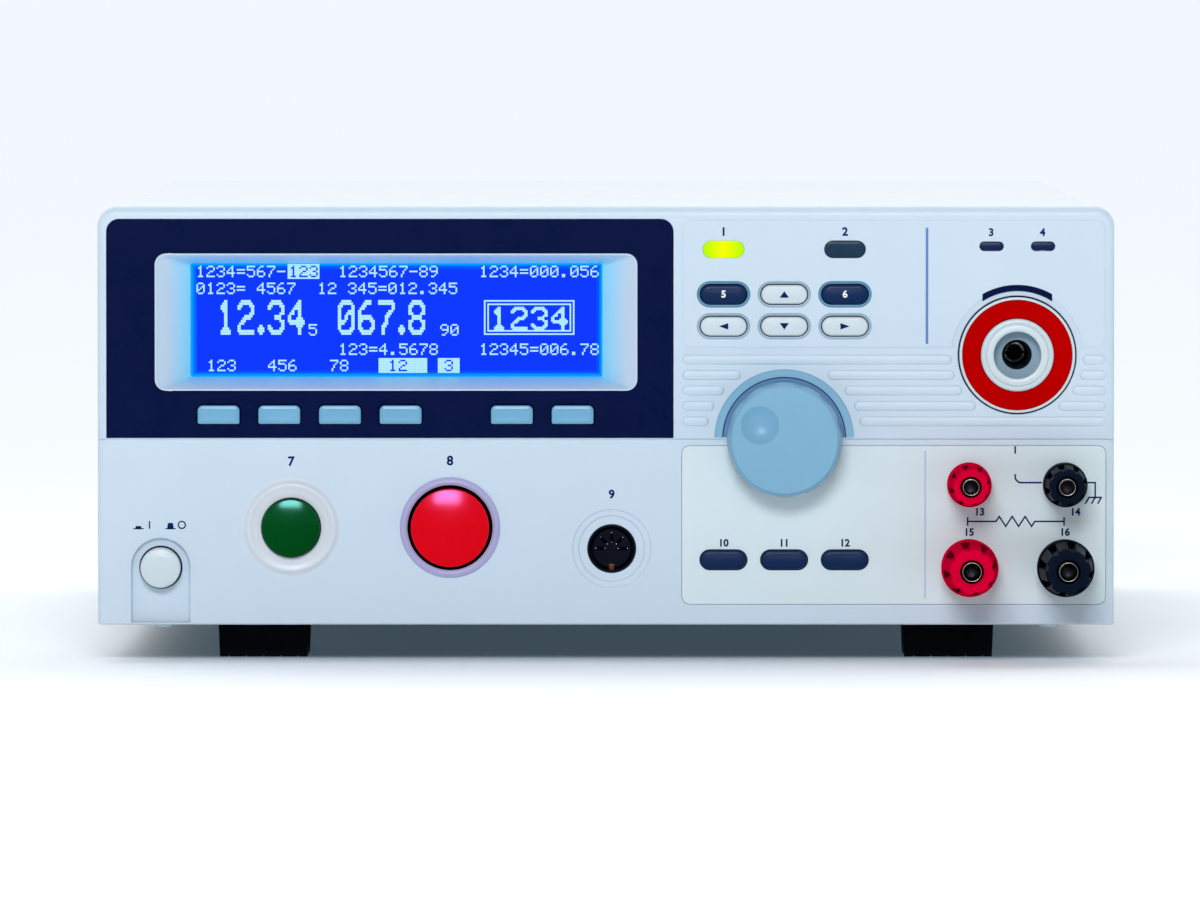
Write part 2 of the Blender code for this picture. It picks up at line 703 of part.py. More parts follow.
def window_funnel():
    """The sloping sides of the display window: a loft from the window's outline to the screen's."""
    steps = 3
    outer = rectangle(WINDOW_LEFT, WINDOW_BOTTOM, WINDOW_RIGHT, WINDOW_TOP, WINDOW_CORNER, steps)
    inner = rectangle(LCD_LEFT, LCD_BOTTOM, LCD_RIGHT, LCD_TOP, LCD_CORNER, steps)
    slope = ((WINDOW_RIGHT - LCD_RIGHT) / WINDOW_DEPTH, DISPLAY_SLOPE_TOP / WINDOW_DEPTH)
    beyond = 1 * MM
    middle_x = (LCD_LEFT + LCD_RIGHT) / 2
    middle_z = (LCD_BOTTOM + LCD_TOP) / 2
    bm = bmesh.new()
    rings = []
    for outline, height, sign in ((outer, 0, 1), (inner, -WINDOW_DEPTH, -1)):
        ring = []
        for x, z in outline:
            grow_x = sign * slope[0] * beyond * (1 if x > middle_x else -1)
            grow_z = sign * slope[1] * beyond * (1 if z > middle_z else -1)
            ring.append(bm.verts.new((x + grow_x, z + grow_z, height + sign * beyond)))
        rings.append(ring)
    count = len(outer)
    for i in range(count):
        j = (i + 1) % count
        bm.faces.new((rings[0][i], rings[0][j], rings[1][j], rings[1][i]))
    bm.faces.new(rings[0])
    bm.faces.new(reversed(rings[1]))
    return placed("window_funnel", mesh_of(bm, "window_funnel"), upper(0, 0), FACING_FRONT)


def dial_well():
    """The half-round dish over the dial, in the upper face only, with a narrow sill left at the seam."""
    rim = DIAL_RADIUS + DIAL_WELL_GAP + DIAL_WELL_SLOPE
    beyond = MM
    dish = drum(
        "dial_well",
        rim - DIAL_WELL_SLOPE,
        -DIAL_WELL_DEPTH,
        beyond,
        upper(DIAL_X, DIAL_Z),
        far_radius=rim + DIAL_WELL_SLOPE / DIAL_WELL_DEPTH * beyond,
        segments=SEGMENTS_LARGE,
    )
    reach = 2 * rim
    sill = box(
        "dial_sill",
        (DIAL_X - reach, UPPER_Y - reach, DIAL_Z - reach),
        (DIAL_X + reach, UPPER_Y + reach, DIAL_Z + DIAL_WELL_SILL),
    )
    return cut(dish, [sill])


def half_chord(radius, distance):
    return math.sqrt(max(radius * radius - distance * distance, 0))


def rib_spans(z):
    """The stretches of one rib row, broken round the dial and the high-voltage terminal."""
    dial_keepout = DIAL_RADIUS + DIAL_WELL_GAP + DIAL_WELL_SLOPE + RIB_END_CLEARANCE
    terminal_keepout = HV_FLANGE_RADIUS + HV_COLLAR_WIDTH
    spans = []
    start = FIELD_LEFT
    for centre, keepout, rise in ((DIAL_X, dial_keepout, DIAL_Z), (TERMINAL_X, terminal_keepout, HV_Z)):
        reach = half_chord(keepout, z - rise)
        if reach > RIB_HEIGHT:
            spans.append((start, centre - reach))
            start = centre + reach
    spans.append((start, FIELD_RIGHT))
    return [span for span in spans if span[1] - span[0] > 1.5 * RIB_HEIGHT]


def ribs():
    bars = []
    for row in range(RIB_COUNT):
        z = SEAM + RIB_RISE + row * RIB_STEP
        for start, end in rib_spans(z):
            outline = stadium((start + end) / 2, z, end - start, RIB_HEIGHT, 2)
            bars.append(prism(f"rib_{len(bars)}", [outline], -UPPER_WALL / 2, RIB_PROUD, upper(0, 0)))
    return bars


def legend_recess():
    """The shallow recess that holds the printed legends, with a round bite left for the terminal."""
    outline = rectangle(FIELD_LEFT, LEGEND_BOTTOM, FIELD_RIGHT, DISPLAY_TOP, LEGEND_CORNER)
    recess = prism("legend_recess", [outline], -LEGEND_RECESS, MM, upper(0, 0))
    collar = drum(
        "terminal_collar",
        HV_FLANGE_RADIUS + HV_COLLAR_WIDTH,
        -MM,
        2 * MM,
        upper(TERMINAL_X, HV_Z),
        segments=SEGMENTS_LARGE,
    )
    return cut(recess, [collar])


def key_openings():
    """Through holes for every key and lamp, and the dish round each navigation key."""
    through = (-2 * UPPER_WALL, UPPER_WALL)
    openings = []
    for x in KEY_COLUMNS:
        for z in KEY_ROWS:
            hole = stadium(x, z, KEY_WIDTH + 2 * HOLE_CLEARANCE, KEY_HEIGHT + 2 * HOLE_CLEARANCE)
            dish = stadium(x, z, KEY_WIDTH + 2 * KEY_DISH, KEY_HEIGHT + 2 * KEY_DISH)
            openings.append(prism("key_hole", [hole], *through, upper(0, 0)))
            depth = LEGEND_RECESS + KEY_DISH_DEPTH
            openings.append(prism("key_dish", [dish], -depth, 2 * MM, upper(0, 0)))
        low_hole = stadium(x, LOWER_KEY_Z, KEY_WIDTH + 2 * HOLE_CLEARANCE, KEY_HEIGHT + 2 * HOLE_CLEARANCE)
        openings.append(prism("lower_key_hole", [low_hole], *through, front(0, 0)))
    for x in soft_key_places():
        hole = soft_key_outline(HOLE_CLEARANCE, x, SOFT_KEY_Z)
        openings.append(prism("soft_key_hole", [hole], *through, upper(0, 0)))
    for x in (KEY_COLUMNS[0], KEY_COLUMNS[2]):
        hole = stadium(x, LAMP_Z, RESULT_LAMP_WIDTH + 2 * HOLE_CLEARANCE, RESULT_LAMP_HEIGHT + 2 * HOLE_CLEARANCE)
        openings.append(prism("result_lamp_hole", [hole], *through, upper(0, 0)))
    for x in status_lamp_places():
        width, height = STATUS_LAMP_WIDTH + 2 * HOLE_CLEARANCE, STATUS_LAMP_HEIGHT + 2 * HOLE_CLEARANCE
        hole = stadium(x, LAMP_Z + STATUS_LAMP_LIFT, width, height)
        openings.append(prism("status_lamp_hole", [hole], *through, upper(0, 0)))
    return openings


def status_lamp_places():
    return [TERMINAL_X - STATUS_LAMP_STEP / 2, TERMINAL_X + STATUS_LAMP_STEP / 2]


def round_openings():
    """Holes for the dial, the terminals, the switches and the socket, with their seats."""
    deep = 2 * UPPER_WALL
    seat = drum(
        "terminal_seat",
        HV_FLANGE_RADIUS + HOLE_CLEARANCE,
        -HV_FLANGE_SEAT - GAP,
        deep,
        upper(TERMINAL_X, HV_Z),
        segments=SEGMENTS_LARGE,
    )
    dish = drum(
        "remote_dish",
        REMOTE_DISH_RADIUS - REMOTE_DISH_SLOPE,
        -REMOTE_DISH_DEPTH,
        REMOTE_DISH_DEPTH,
        front(REMOTE_X, REMOTE_Z),
        far_radius=REMOTE_DISH_RADIUS + REMOTE_DISH_SLOPE,
        segments=SEGMENTS_MEDIUM,
    )
    holes = [
        ("dial_hole", bushing_radius() + HOLE_CLEARANCE, DIAL_X, DIAL_Z, SEGMENTS_SMALL),
        ("terminal_hole", HV_BODY_RADIUS + HOLE_CLEARANCE, TERMINAL_X, HV_Z, SEGMENTS_MEDIUM),
        ("start_hole", start_barrel_radius() + HOLE_CLEARANCE, START_X, SWITCH_Z, SEGMENTS_MEDIUM),
        ("stop_hole", stop_barrel_radius() + HOLE_CLEARANCE, STOP_X, SWITCH_Z, SEGMENTS_MEDIUM),
        ("remote_hole", REMOTE_RADIUS + HOLE_CLEARANCE, REMOTE_X, REMOTE_Z, SEGMENTS_MEDIUM),
        ("power_hole", POWER_RADIUS + POWER_HOLE_GAP, POWER_X, POWER_Z, SEGMENTS_MEDIUM),
    ]
    for x in POST_COLUMNS.values():
        for z in POST_ROWS.values():
            holes.append(("post_hole", POST_NECK_RADIUS + HOLE_CLEARANCE, x, z, SEGMENTS_SMALL))
    cutters = [drum(name, radius, -deep, deep, front(x, z), segments=n) for name, radius, x, z, n in holes]
    return cutters + [seat, dish, dial_well(), power_niche()]


def power_niche():
    """The arched recess round the power button, open at the frame's lower edge."""
    radius = POWER_RADIUS + POWER_HOLE_GAP + POWER_NICHE_MARGIN
    below = FRAME_BOTTOM - MM
    outline = arc(POWER_X, POWER_Z, radius, 0, 180, 10)
    outline += [(POWER_X - radius, below), (POWER_X + radius, below)]
    return prism("power_niche", [outline], -POWER_NICHE_DEPTH, 2 * MM, front(0, 0))


def board_bosses():
    """Moulded posts on the back of the frame that carry the front circuit board."""
    bosses = []
    for x, z in board_boss_places():
        bosses.append(
            drum("board_boss", BOSS_RADIUS, -(BOARD_Y - FRONT_Y - GAP), -FRAME_WALL / 2, front(x, z), segments=8)
        )
    return bosses


def board_boss_places():
    column_gap = KEY_STEP_X / 2
    low = LOWER_KEY_Z - KEY_HEIGHT / 2 - KEY_FLANGE - BOSS_RADIUS - BOSS_MARGIN
    return [
        (KEY_COLUMNS[0] + column_gap, low),
        (KEY_COLUMNS[1] + column_gap, low),
        (KEY_COLUMNS[1], LAMP_Z),
        (soft_key_places()[3] + SOFT_GROUP_STEP / 2, SOFT_KEY_Z),
    ]


def frame_side_view():
    """(y, z) points: the lower face, the step out to the upper face, and the rounded top and foot."""
    foot_points = arc(FRONT_Y + FRAME_FOOT_ROUND, FRAME_BOTTOM + FRAME_FOOT_ROUND, FRAME_FOOT_ROUND, 270, 180, 2)
    top_points = arc(UPPER_Y + FRAME_TOP_ROUND, FRAME_TOP - FRAME_TOP_ROUND, FRAME_TOP_ROUND, 180, 90, 4)
    step = [(FRONT_Y, SEAM), (UPPER_Y, SEAM)]
    return [*foot_points, *step, *top_points, (FRAME_BACK_Y, FRAME_TOP), (FRAME_BACK_Y, FRAME_BOTTOM)]


def front_frame():
    """The moulded front: its side view, front view and plan crossed, hollowed, then detailed."""
    frame = prism(
        "front_frame", [frame_side_view()], LEFT - MM, RIGHT + MM, (0, 0, 0), FACING_RIGHT, "frame_plastic"
    )
    front_view = rectangle(LEFT, FRAME_BOTTOM - MM, RIGHT, FRAME_TOP, (0, FRAME_CORNER), 5)
    plan = rectangle(LEFT, UPPER_Y, RIGHT, FRAME_BACK_Y + MM, (FRAME_SIDE_ROUND, 0), 3)
    cross(frame, prism("frame_front_view", [front_view], -2 * FRAME_DEPTH, FRAME_DEPTH, front(0, 0)))
    cross(frame, prism("frame_plan", [plan], 0, 2 * FRAME_TOP, (0, 0, -MM), FACING_UP))
    inner = rectangle(
        LEFT + FRAME_SIDE_WALL,
        FRAME_BOTTOM + FRAME_SIDE_WALL,
        RIGHT - FRAME_SIDE_WALL,
        FRAME_TOP - FRAME_SIDE_WALL,
        (0, FRAME_CORNER - FRAME_SIDE_WALL),
        3,
    )
    cut(frame, [prism("frame_cavity", [inner], -2 * FRAME_DEPTH, -FRAME_WALL, front(0, 0))])
    boss_outline = rectangle(
        LCD_LEFT - FRAME_SIDE_WALL,
        LCD_BOTTOM - FRAME_SIDE_WALL,
        LCD_RIGHT + FRAME_SIDE_WALL,
        LCD_TOP + FRAME_SIDE_WALL,
    )
    window_boss = prism("window_boss", [boss_outline], -WINDOW_DEPTH, -UPPER_WALL / 2, upper(0, 0))
    join(frame, [window_boss, *board_bosses(), *ribs()])
    recess = prism(
        "display_recess", [display_outline(GAP), window_outline()], -DISPLAY_RECESS, 3 * MM, upper(0, 0)
    )
    overlay_recess = prism("overlay_recess", [overlay_outline(GAP)], -OVERLAY_THICKNESS - GAP, MM, front(0, 0))
    flat_cuts = [recess, overlay_recess, window_funnel(), legend_recess()]
    return cut(frame, flat_cuts + key_openings() + round_openings())


def display_panel():
    """The dark lens panel round the display window, with its six key openings."""
    low = -DISPLAY_RECESS + GAP
    high = low + DISPLAY_PANEL_THICKNESS
    panel = prism("display_panel", [display_outline()], low, high, upper(0, 0), look="navy_plastic")
    outlines = [soft_key_outline(HOLE_CLEARANCE, x, SOFT_KEY_Z) for x in soft_key_places()]
    outlines.append(window_outline(GAP))
    return cut(panel, [prism("panel_hole", [o], low - MM, high + MM, upper(0, 0)) for o in outlines])


def lower_overlay():
    """The printed film over the lower right field, cut round the keys, the posts and the dial's bushing."""
    film = prism(
        "lower_overlay", [overlay_outline()], -OVERLAY_THICKNESS, 0, front(0, 0), look="label_film"
    )
    width, height = KEY_WIDTH + 2 * HOLE_CLEARANCE, KEY_HEIGHT + 2 * HOLE_CLEARANCE
    holes = [
        prism("film_key_hole", [stadium(x, LOWER_KEY_Z, width, height)], -MM, MM, front(0, 0))
        for x in KEY_COLUMNS
    ]
    rounds = [(x, z, POST_NECK_RADIUS + HOLE_CLEARANCE) for x in POST_COLUMNS.values() for z in POST_ROWS.values()]
    rounds.append((DIAL_X, DIAL_Z, bushing_radius() + HOLE_CLEARANCE))
    holes += [drum("film_hole", radius, -MM, MM, front(x, z), segments=SEGMENTS_SMALL) for x, z, radius in rounds]
    return cut(film, holes)


def lcd_module():
    """The liquid-crystal display: a metal rim round a sunk glass."""
    back = UPPER_Y + WINDOW_DEPTH + GAP
    outline = rectangle(LCD_LEFT - LCD_RIM, LCD_BOTTOM - LCD_RIM, LCD_RIGHT + LCD_RIM, LCD_TOP + LCD_RIM)
    module = prism("lcd_module", [outline], -LCD_THICKNESS, 0, (0, back, 0), look="screen_blue")
    glass = rectangle(LCD_LEFT, LCD_BOTTOM, LCD_RIGHT, LCD_TOP)
    sink = prism("glass_sink", [glass], -0.6 * MM, LCD_THICKNESS, (0, back, 0))
    return cut(module, [sink])


# Keys, buttons and lamps


def key(name, outline, flange_outline, x, z, face_y, look):
    """A key cap that stands in its hole, with a flange behind the wall that keeps it in."""
    back = -(WALL_BACK_Y + GAP - face_y)
    place = (x, face_y, z)
    middle = back - KEY_FLANGE_THICKNESS / 2
    cap = prism(name, [outline], middle, KEY_PROUD, place, look=look, rim=KEY_ROUND, rim_segments=1)
    flange = prism(f"{name}_flange", [flange_outline], back - KEY_FLANGE_THICKNESS, back, place)
    return join(cap, [flange])


def oval_key(name, x, z, face_y, look):
    outline = stadium(0, 0, KEY_WIDTH, KEY_HEIGHT)
    flange = rectangle(
        -KEY_WIDTH / 2 - KEY_FLANGE,
        -KEY_HEIGHT / 2 - KEY_FLANGE,
        KEY_WIDTH / 2 + KEY_FLANGE,
        KEY_HEIGHT / 2 + KEY_FLANGE,
    )
    return key(name, outline, flange, x, z, face_y, look)


def keys():
    names = (("left_key", "esc_key"), ("down_key", "up_key"), ("right_key", "page_key"))
    for x, column in zip(KEY_COLUMNS, names):
        for z, name in zip(KEY_ROWS, column):
            look = "navy_plastic" if name in ("esc_key", "page_key") else "white_plastic"
            oval_key(name, x, z, UPPER_Y, look)
    for x, name in zip(KEY_COLUMNS, ("mode_key", "edit_key", "utility_key")):
        oval_key(name, x, LOWER_KEY_Z, FRONT_Y, "navy_plastic")
    for number, x in enumerate(soft_key_places(), 1):
        half_width = SOFT_KEY_WIDTH / 2 + KEY_FLANGE
        half_height = SOFT_KEY_HEIGHT / 2 + KEY_FLANGE
        flange = rectangle(-half_width, -half_height, half_width, half_height)
        key(f"soft_key_{number}", soft_key_outline(), flange, x, SOFT_KEY_Z, UPPER_Y, "pale_blue_plastic")


def lamp(name, x, look):
    outline = stadium(0, 0, RESULT_LAMP_WIDTH, RESULT_LAMP_HEIGHT)
    back = -UPPER_WALL - GAP
    middle = back - KEY_FLANGE_THICKNESS / 2
    lens = prism(name, [outline], middle, LAMP_PROUD, upper(x, LAMP_Z), look=look)
    half_width = RESULT_LAMP_WIDTH / 2 + KEY_FLANGE
    half_height = RESULT_LAMP_HEIGHT / 2 + KEY_FLANGE
    lip = rectangle(-half_width, -half_height, half_width, half_height)
    flange = prism(f"{name}_lip", [lip], back - KEY_FLANGE_THICKNESS, back, upper(x, LAMP_Z))
    return join(lens, [flange])


def status_lens():
    """One light guide with two tips, for the two small status windows."""
    tips = status_lamp_places()
    level = LAMP_Z + STATUS_LAMP_LIFT
    back = -UPPER_WALL - GAP
    half_width = STATUS_LAMP_WIDTH / 2 + KEY_FLANGE
    half_height = STATUS_LAMP_HEIGHT / 2 + KEY_FLANGE
    bar = rectangle(tips[0] - half_width, level - half_height, tips[1] + half_width, level + half_height)
    guide = prism("status_lens", [bar], back - 2 * KEY_FLANGE_THICKNESS, back, upper(0, 0), look="lamp_dark")
    outlines = [stadium(x, level, STATUS_LAMP_WIDTH, STATUS_LAMP_HEIGHT) for x in tips]
    return join(
        guide, [prism("status_tip", [o], back - KEY_FLANGE_THICKNESS, LAMP_PROUD, upper(0, 0)) for o in outlines]
    )


def start_barrel_radius():
    return START_RADIUS + START_GUIDE_GAP + START_BARREL_WALL


def stop_barrel_radius():
    return STOP_RADIUS + STOP_GUIDE_GAP + STOP_BARREL_WALL


def push_switch(name, x, ring_radius, barrel_radius, bore_radius):
    """A switch body: a rounded ring outside the frame, a barrel through it and a closed floor."""
    soft = 0.5 * MM
    floor = -SWITCH_DEPTH + SWITCH_FLOOR
    profile = [
        (0, floor),
        (bore_radius, floor),
        (bore_radius, SWITCH_RING_PROUD),
        (ring_radius - 2 * soft, SWITCH_RING_PROUD),
        (ring_radius, GAP + soft),
        (ring_radius, GAP),
        (barrel_radius, GAP),
        (barrel_radius, -SWITCH_DEPTH),
        (0, -SWITCH_DEPTH),
    ]
    return turned(name, profile, front(x, SWITCH_Z), look="white_plastic")


def push_button(name, x, radius, guide_radius, look):
    """A domed button with a guide collar, standing clear of the barrel's floor by more than its travel."""
    foot = -SWITCH_DEPTH + SWITCH_FLOOR + SWITCH_TRAVEL + GAP
    rim = SWITCH_BUTTON_PROUD
    dome = [(radius * math.sin(a), rim + SWITCH_DOME * math.cos(a)) for a in (0, 0.5, 1.05)]
    profile = dome + [
        (radius, rim - 0.4 * MM),
        (radius, -FRAME_WALL),
        (guide_radius, -FRAME_WALL - (guide_radius - radius)),
        (guide_radius, foot),
        (0, foot),
    ]
    return turned(name, profile, front(x, SWITCH_Z), look=look)


def switches():
    start_bore = START_RADIUS + START_GUIDE_GAP
    stop_bore = STOP_RADIUS + STOP_GUIDE_GAP
    push_switch("start_switch", START_X, START_RING_RADIUS, start_barrel_radius(), start_bore)
    push_switch("stop_switch", STOP_X, STOP_RING_RADIUS, stop_barrel_radius(), stop_bore)
    push_button("start_button", START_X, START_RADIUS, start_bore - GAP, "green_plastic")
    push_button("stop_button", STOP_X, STOP_RADIUS, stop_bore - GAP, "red_plastic")


def power_button():
    """A round button with a soft dome, a keeping flange behind the wall and its push rod."""
    back = -FRAME_WALL - GAP
    face = POWER_PROUD - POWER_NICHE_DEPTH
    profile = [
        (0, face),
        (0.6 * POWER_RADIUS, face - 0.15 * MM),
        (POWER_RADIUS - 0.6 * MM, face - 0.4 * MM),
        (POWER_RADIUS, face - 1.0 * MM),
        (POWER_RADIUS, back),
        (POWER_RADIUS + POWER_FLANGE, back),
        (POWER_RADIUS + POWER_FLANGE, back - KEY_FLANGE_THICKNESS),
        (POWER_ROD_RADIUS, back - KEY_FLANGE_THICKNESS),
        (POWER_ROD_RADIUS, back - POWER_ROD_LENGTH),
        (0, back - POWER_ROD_LENGTH),
    ]
    return turned("power_button", profile, front(POWER_X, POWER_Z), look="white_plastic", segments=16)


# Dial and its encoder


def bushing_radius():
    return DIAL_SHAFT_RADIUS + GAP + BUSHING_WALL


def dial():
    """A hollow dial knob with a finger dimple, a central hub and the encoder's shaft."""
    hub = bushing_radius() + GAP + BUSHING_WALL
    lift = FACE_STEP + DIAL_LIFT
    face = DIAL_REACH
    slope = DIAL_RADIUS - DIAL_FACE_RADIUS
    inner = DIAL_RADIUS - DIAL_WALL
    shaft_end = -(BOARD_Y - FRONT_Y) + GAP
    profile = [
        (0, face),
        (DIAL_FACE_RADIUS, face),
        (DIAL_FACE_RADIUS + 0.7 * slope, face - slope),
        (DIAL_RADIUS, face - 3 * slope),
        (DIAL_RADIUS, lift),
        (inner, lift),
        (inner, face - 3 * slope - DIAL_WALL),
        (hub, face - 3 * slope - DIAL_WALL),
        (hub, BUSHING_REACH - 2 * GAP),
        (bushing_radius() + GAP, BUSHING_REACH - 2 * GAP),
        (bushing_radius() + GAP, BUSHING_REACH + GAP),
        (DIAL_SHAFT_RADIUS, BUSHING_REACH + GAP),
        (DIAL_SHAFT_RADIUS, shaft_end),
        (0, shaft_end),
    ]
    knob = turned("dial", profile, front(DIAL_X, DIAL_Z), look="pale_blue_plastic", segments=SEGMENTS_LARGE)
    sphere_radius = (DIAL_DIMPLE_RADIUS**2 + DIAL_DIMPLE_DEPTH**2) / (2 * DIAL_DIMPLE_DEPTH)
    bm = bmesh.new()
    bmesh.ops.create_uvsphere(bm, u_segments=16, v_segments=24, radius=sphere_radius)
    place = front(
        DIAL_X + DIAL_DIMPLE_OFFSET * math.cos(DIAL_DIMPLE_ANGLE),
        DIAL_Z + DIAL_DIMPLE_OFFSET * math.sin(DIAL_DIMPLE_ANGLE),
        FRONT_Y - face - sphere_radius + DIAL_DIMPLE_DEPTH,
    )
    dimple = placed("dial_dimple", mesh_of(bm, "dial_dimple"), place, FACING_FRONT)
    return cut(knob, [dimple])


def panel_board():
    """The front circuit board: an L round the display, with the rotary encoder and its bushing."""
    margin = 5 * MM
    strip_bottom = SEAM + GAP
    strip_top = LCD_BOTTOM - LCD_RIM - 2 * GAP
    left = soft_key_places()[0] - KEY_STEP_X / 2
    inner = max(LCD_RIGHT + LCD_RIM, soft_key_places()[5] + KEY_STEP_X / 2)
    inner = max(inner, KEY_COLUMNS[0] - KEY_WIDTH / 2 - margin)
    right = KEY_COLUMNS[2] + KEY_WIDTH / 2 + margin
    bottom = LOWER_KEY_Z - 2 * KEY_HEIGHT
    top = LAMP_Z + RESULT_LAMP_HEIGHT
    outline = [
        (left, strip_bottom),
        (inner, strip_bottom),
        (inner, bottom),
        (right, bottom),
        (right, top),
        (inner, top),
        (inner, strip_top),
        (left, strip_top),
    ]
    board = prism("panel_board", [outline], -BOARD_THICKNESS, 0, (0, BOARD_Y, 0), look="circuit_board")
    half = ENCODER_SIZE / 2
    can = prism(
        "encoder_can",
        [rectangle(-half, -half, half, half)],
        -ENCODER_DEPTH,
        -BOARD_THICKNESS / 2,
        (DIAL_X, BOARD_Y, DIAL_Z),
    )
    reach = BOARD_Y - FRONT_Y + BUSHING_REACH
    bushing = drum("encoder_bushing", bushing_radius(), -BOARD_THICKNESS / 2, reach, (DIAL_X, BOARD_Y, DIAL_Z))
    bore = drum("encoder_bore", DIAL_SHAFT_RADIUS + GAP, 0, 2 * reach, (DIAL_X, BOARD_Y, DIAL_Z))
    join(board, [can, bushing])
    return cut(board, [bore])


# High-voltage terminal


def high_voltage_terminal():
    """A white insulating bushing with a deep mouth, a red ring let into its flange and a live contact."""
    place = upper(TERMINAL_X, HV_Z)
    groove = HV_FLANGE_PROUD - HV_RING_THICKNESS - GAP
    floor = HV_NOSE_PROUD - HV_MOUTH_DEPTH
    bore_floor = floor - HV_BORE_DEPTH
    soft = 0.8 * MM
    profile = [
        (HV_MOUTH_RADIUS, HV_NOSE_PROUD),
        (HV_NOSE_RADIUS - 2 * soft, HV_NOSE_PROUD),
        (HV_NOSE_RADIUS, HV_NOSE_PROUD - 1.5 * soft),
        (HV_NOSE_RADIUS, groove),
        (HV_RING_OUTER + GAP, groove),
        (HV_RING_OUTER + GAP, HV_FLANGE_PROUD),
        (HV_FLANGE_RADIUS, HV_FLANGE_PROUD),
        (HV_FLANGE_RADIUS, -HV_FLANGE_SEAT),
        (HV_BODY_RADIUS, -HV_FLANGE_SEAT),
        (HV_BODY_RADIUS, -HV_BODY_DEPTH),
        (HV_TAIL_RADIUS + GAP, -HV_BODY_DEPTH),
        (HV_TAIL_RADIUS + GAP, bore_floor),
        (HV_BORE_RADIUS, bore_floor),
        (HV_BORE_RADIUS, floor),
        (HV_MOUTH_RADIUS, floor),
    ]
    turned("hv_bushing", profile, place, look="white_plastic", closed=True)
    ring = [
        (HV_RING_INNER, groove + GAP + HV_RING_THICKNESS),
        (HV_RING_OUTER, groove + GAP + HV_RING_THICKNESS),
        (HV_RING_OUTER, groove + GAP),
        (HV_RING_INNER, groove + GAP),
    ]
    turned("hv_ring", ring, place, look="red_plastic", closed=True)
    tip = floor - HV_CONTACT_SETBACK
    end = -HV_BODY_DEPTH - HV_TAIL_REACH
    contact = [
        (0, tip - HV_CONTACT_SOCKET - HV_CONTACT_BORE / 2),
        (HV_CONTACT_BORE, tip - HV_CONTACT_SOCKET),
        (HV_CONTACT_BORE, tip),
        (HV_CONTACT_RADIUS, tip - HV_CONTACT_SLIT),
        (HV_CONTACT_RADIUS, bore_floor + GAP),
        (HV_TAIL_RADIUS, bore_floor + GAP),
        (HV_TAIL_RADIUS, end),
        (0, end),
    ]
    live = turned("hv_contact", contact, place, look="plated_brass", segments=SEGMENTS_SMALL)
    slots = []
    for turn in range(2):
        half = (HV_CONTACT_RADIUS + GAP, HV_CONTACT_SLIT / 2)
        wide, thin = half if turn == 0 else half[::-1]
        outline = rectangle(-wide, -thin, wide, thin)
        slots.append(prism("contact_slot", [outline], tip - HV_CONTACT_SLOT, tip + HV_CONTACT_SLIT, place))
    return cut(live, slots)


# Remote socket


def remote_socket():
    """A round multi-pin socket: shell, annular groove for the plug's sleeve, and contact holes."""
    face = -REMOTE_DISH_DEPTH
    back = -FRAME_WALL - GAP
    insert = REMOTE_RADIUS - REMOTE_SHELL - REMOTE_GROOVE_WIDTH
    profile = [
        (0, face - 0.6 * MM),
        (insert, face - 0.6 * MM),
        (insert, face - REMOTE_GROOVE_DEPTH),
        (REMOTE_RADIUS - REMOTE_SHELL, face - REMOTE_GROOVE_DEPTH),
        (REMOTE_RADIUS - REMOTE_SHELL, face),
        (REMOTE_RADIUS, face),
        (REMOTE_RADIUS, back),
        (REMOTE_RADIUS + REMOTE_FLANGE, back),
        (REMOTE_RADIUS + REMOTE_FLANGE, back - 2 * MM),
        (REMOTE_RADIUS, back - 2 * MM),
        (REMOTE_RADIUS, -REMOTE_BODY_DEPTH),
        (0, -REMOTE_BODY_DEPTH),
    ]
    socket = turned("remote_socket", profile, front(REMOTE_X, REMOTE_Z), look="black_plastic", segments=16)
    contact_circle = 0.6 * insert
    holes = []
    for step in range(5):
        angle = math.radians(45 * step)
        x = REMOTE_X + contact_circle * math.cos(angle)
        z = REMOTE_Z + contact_circle * math.sin(angle)
        holes.append(drum("contact_hole", 0.7 * MM, -8 * MM, 0, front(x, z), segments=6))
    return cut(socket, holes)


# Binding posts

POST_SIZES = {
    "source": {
        "base": SOURCE_BASE_RADIUS,
        "cap": SOURCE_CAP_RADIUS,
        "nose": SOURCE_NOSE_RADIUS,
        "reach": SOURCE_REACH,
        "base_height": SOURCE_BASE_HEIGHT,
        "stud": SOURCE_STUD_RADIUS,
    },
    "sense": {
        "base": SENSE_BASE_RADIUS,
        "cap": SENSE_CAP_RADIUS,
        "nose": SENSE_NOSE_RADIUS,
        "reach": SENSE_REACH,
        "base_height": SENSE_BASE_HEIGHT,
        "stud": SENSE_STUD_RADIUS,
    },
}


def binding_post(kind, side, look):
    """An insulated base with its brass stud: banana bore in the tip, wire hole, nut and tail behind."""
    size = POST_SIZES[kind]
    name = f"{kind}_{side}_post"
    place = front(POST_COLUMNS[side], POST_ROWS[kind])
    tip = size["reach"] + POST_STUD_PROUD
    back = -FRAME_WALL - GAP
    soft = 0.8 * MM
    profile = [
        (0, tip - POST_BANANA_DEPTH),
        (POST_BANANA_RADIUS, tip - POST_BANANA_DEPTH),
        (POST_BANANA_RADIUS, tip),
        (size["stud"], tip),
        (size["stud"], size["base_height"]),
        (size["base"] - soft, size["base_height"]),
        (size["base"], size["base_height"] - soft),
        (size["base"], GAP),
        (POST_NECK_RADIUS, GAP),
        (POST_NECK_RADIUS, back),
        (POST_NUT_RADIUS, back),
        (POST_NUT_RADIUS, back - POST_NUT_THICKNESS),
        (0, back - POST_NUT_THICKNESS),
    ]
    post = turned(name, profile, place, look=look, segments=SEGMENTS_POST)
    wire_hole = drum(
        f"{name}_wire_hole",
        1.3 * MM,
        -size["base"],
        size["base"],
        (place[0], FRONT_Y - size["base_height"] - 2.2 * MM, place[2]),
        facing=FACING_UP,
        segments=6,
    )
    return cut(post, [wire_hole])


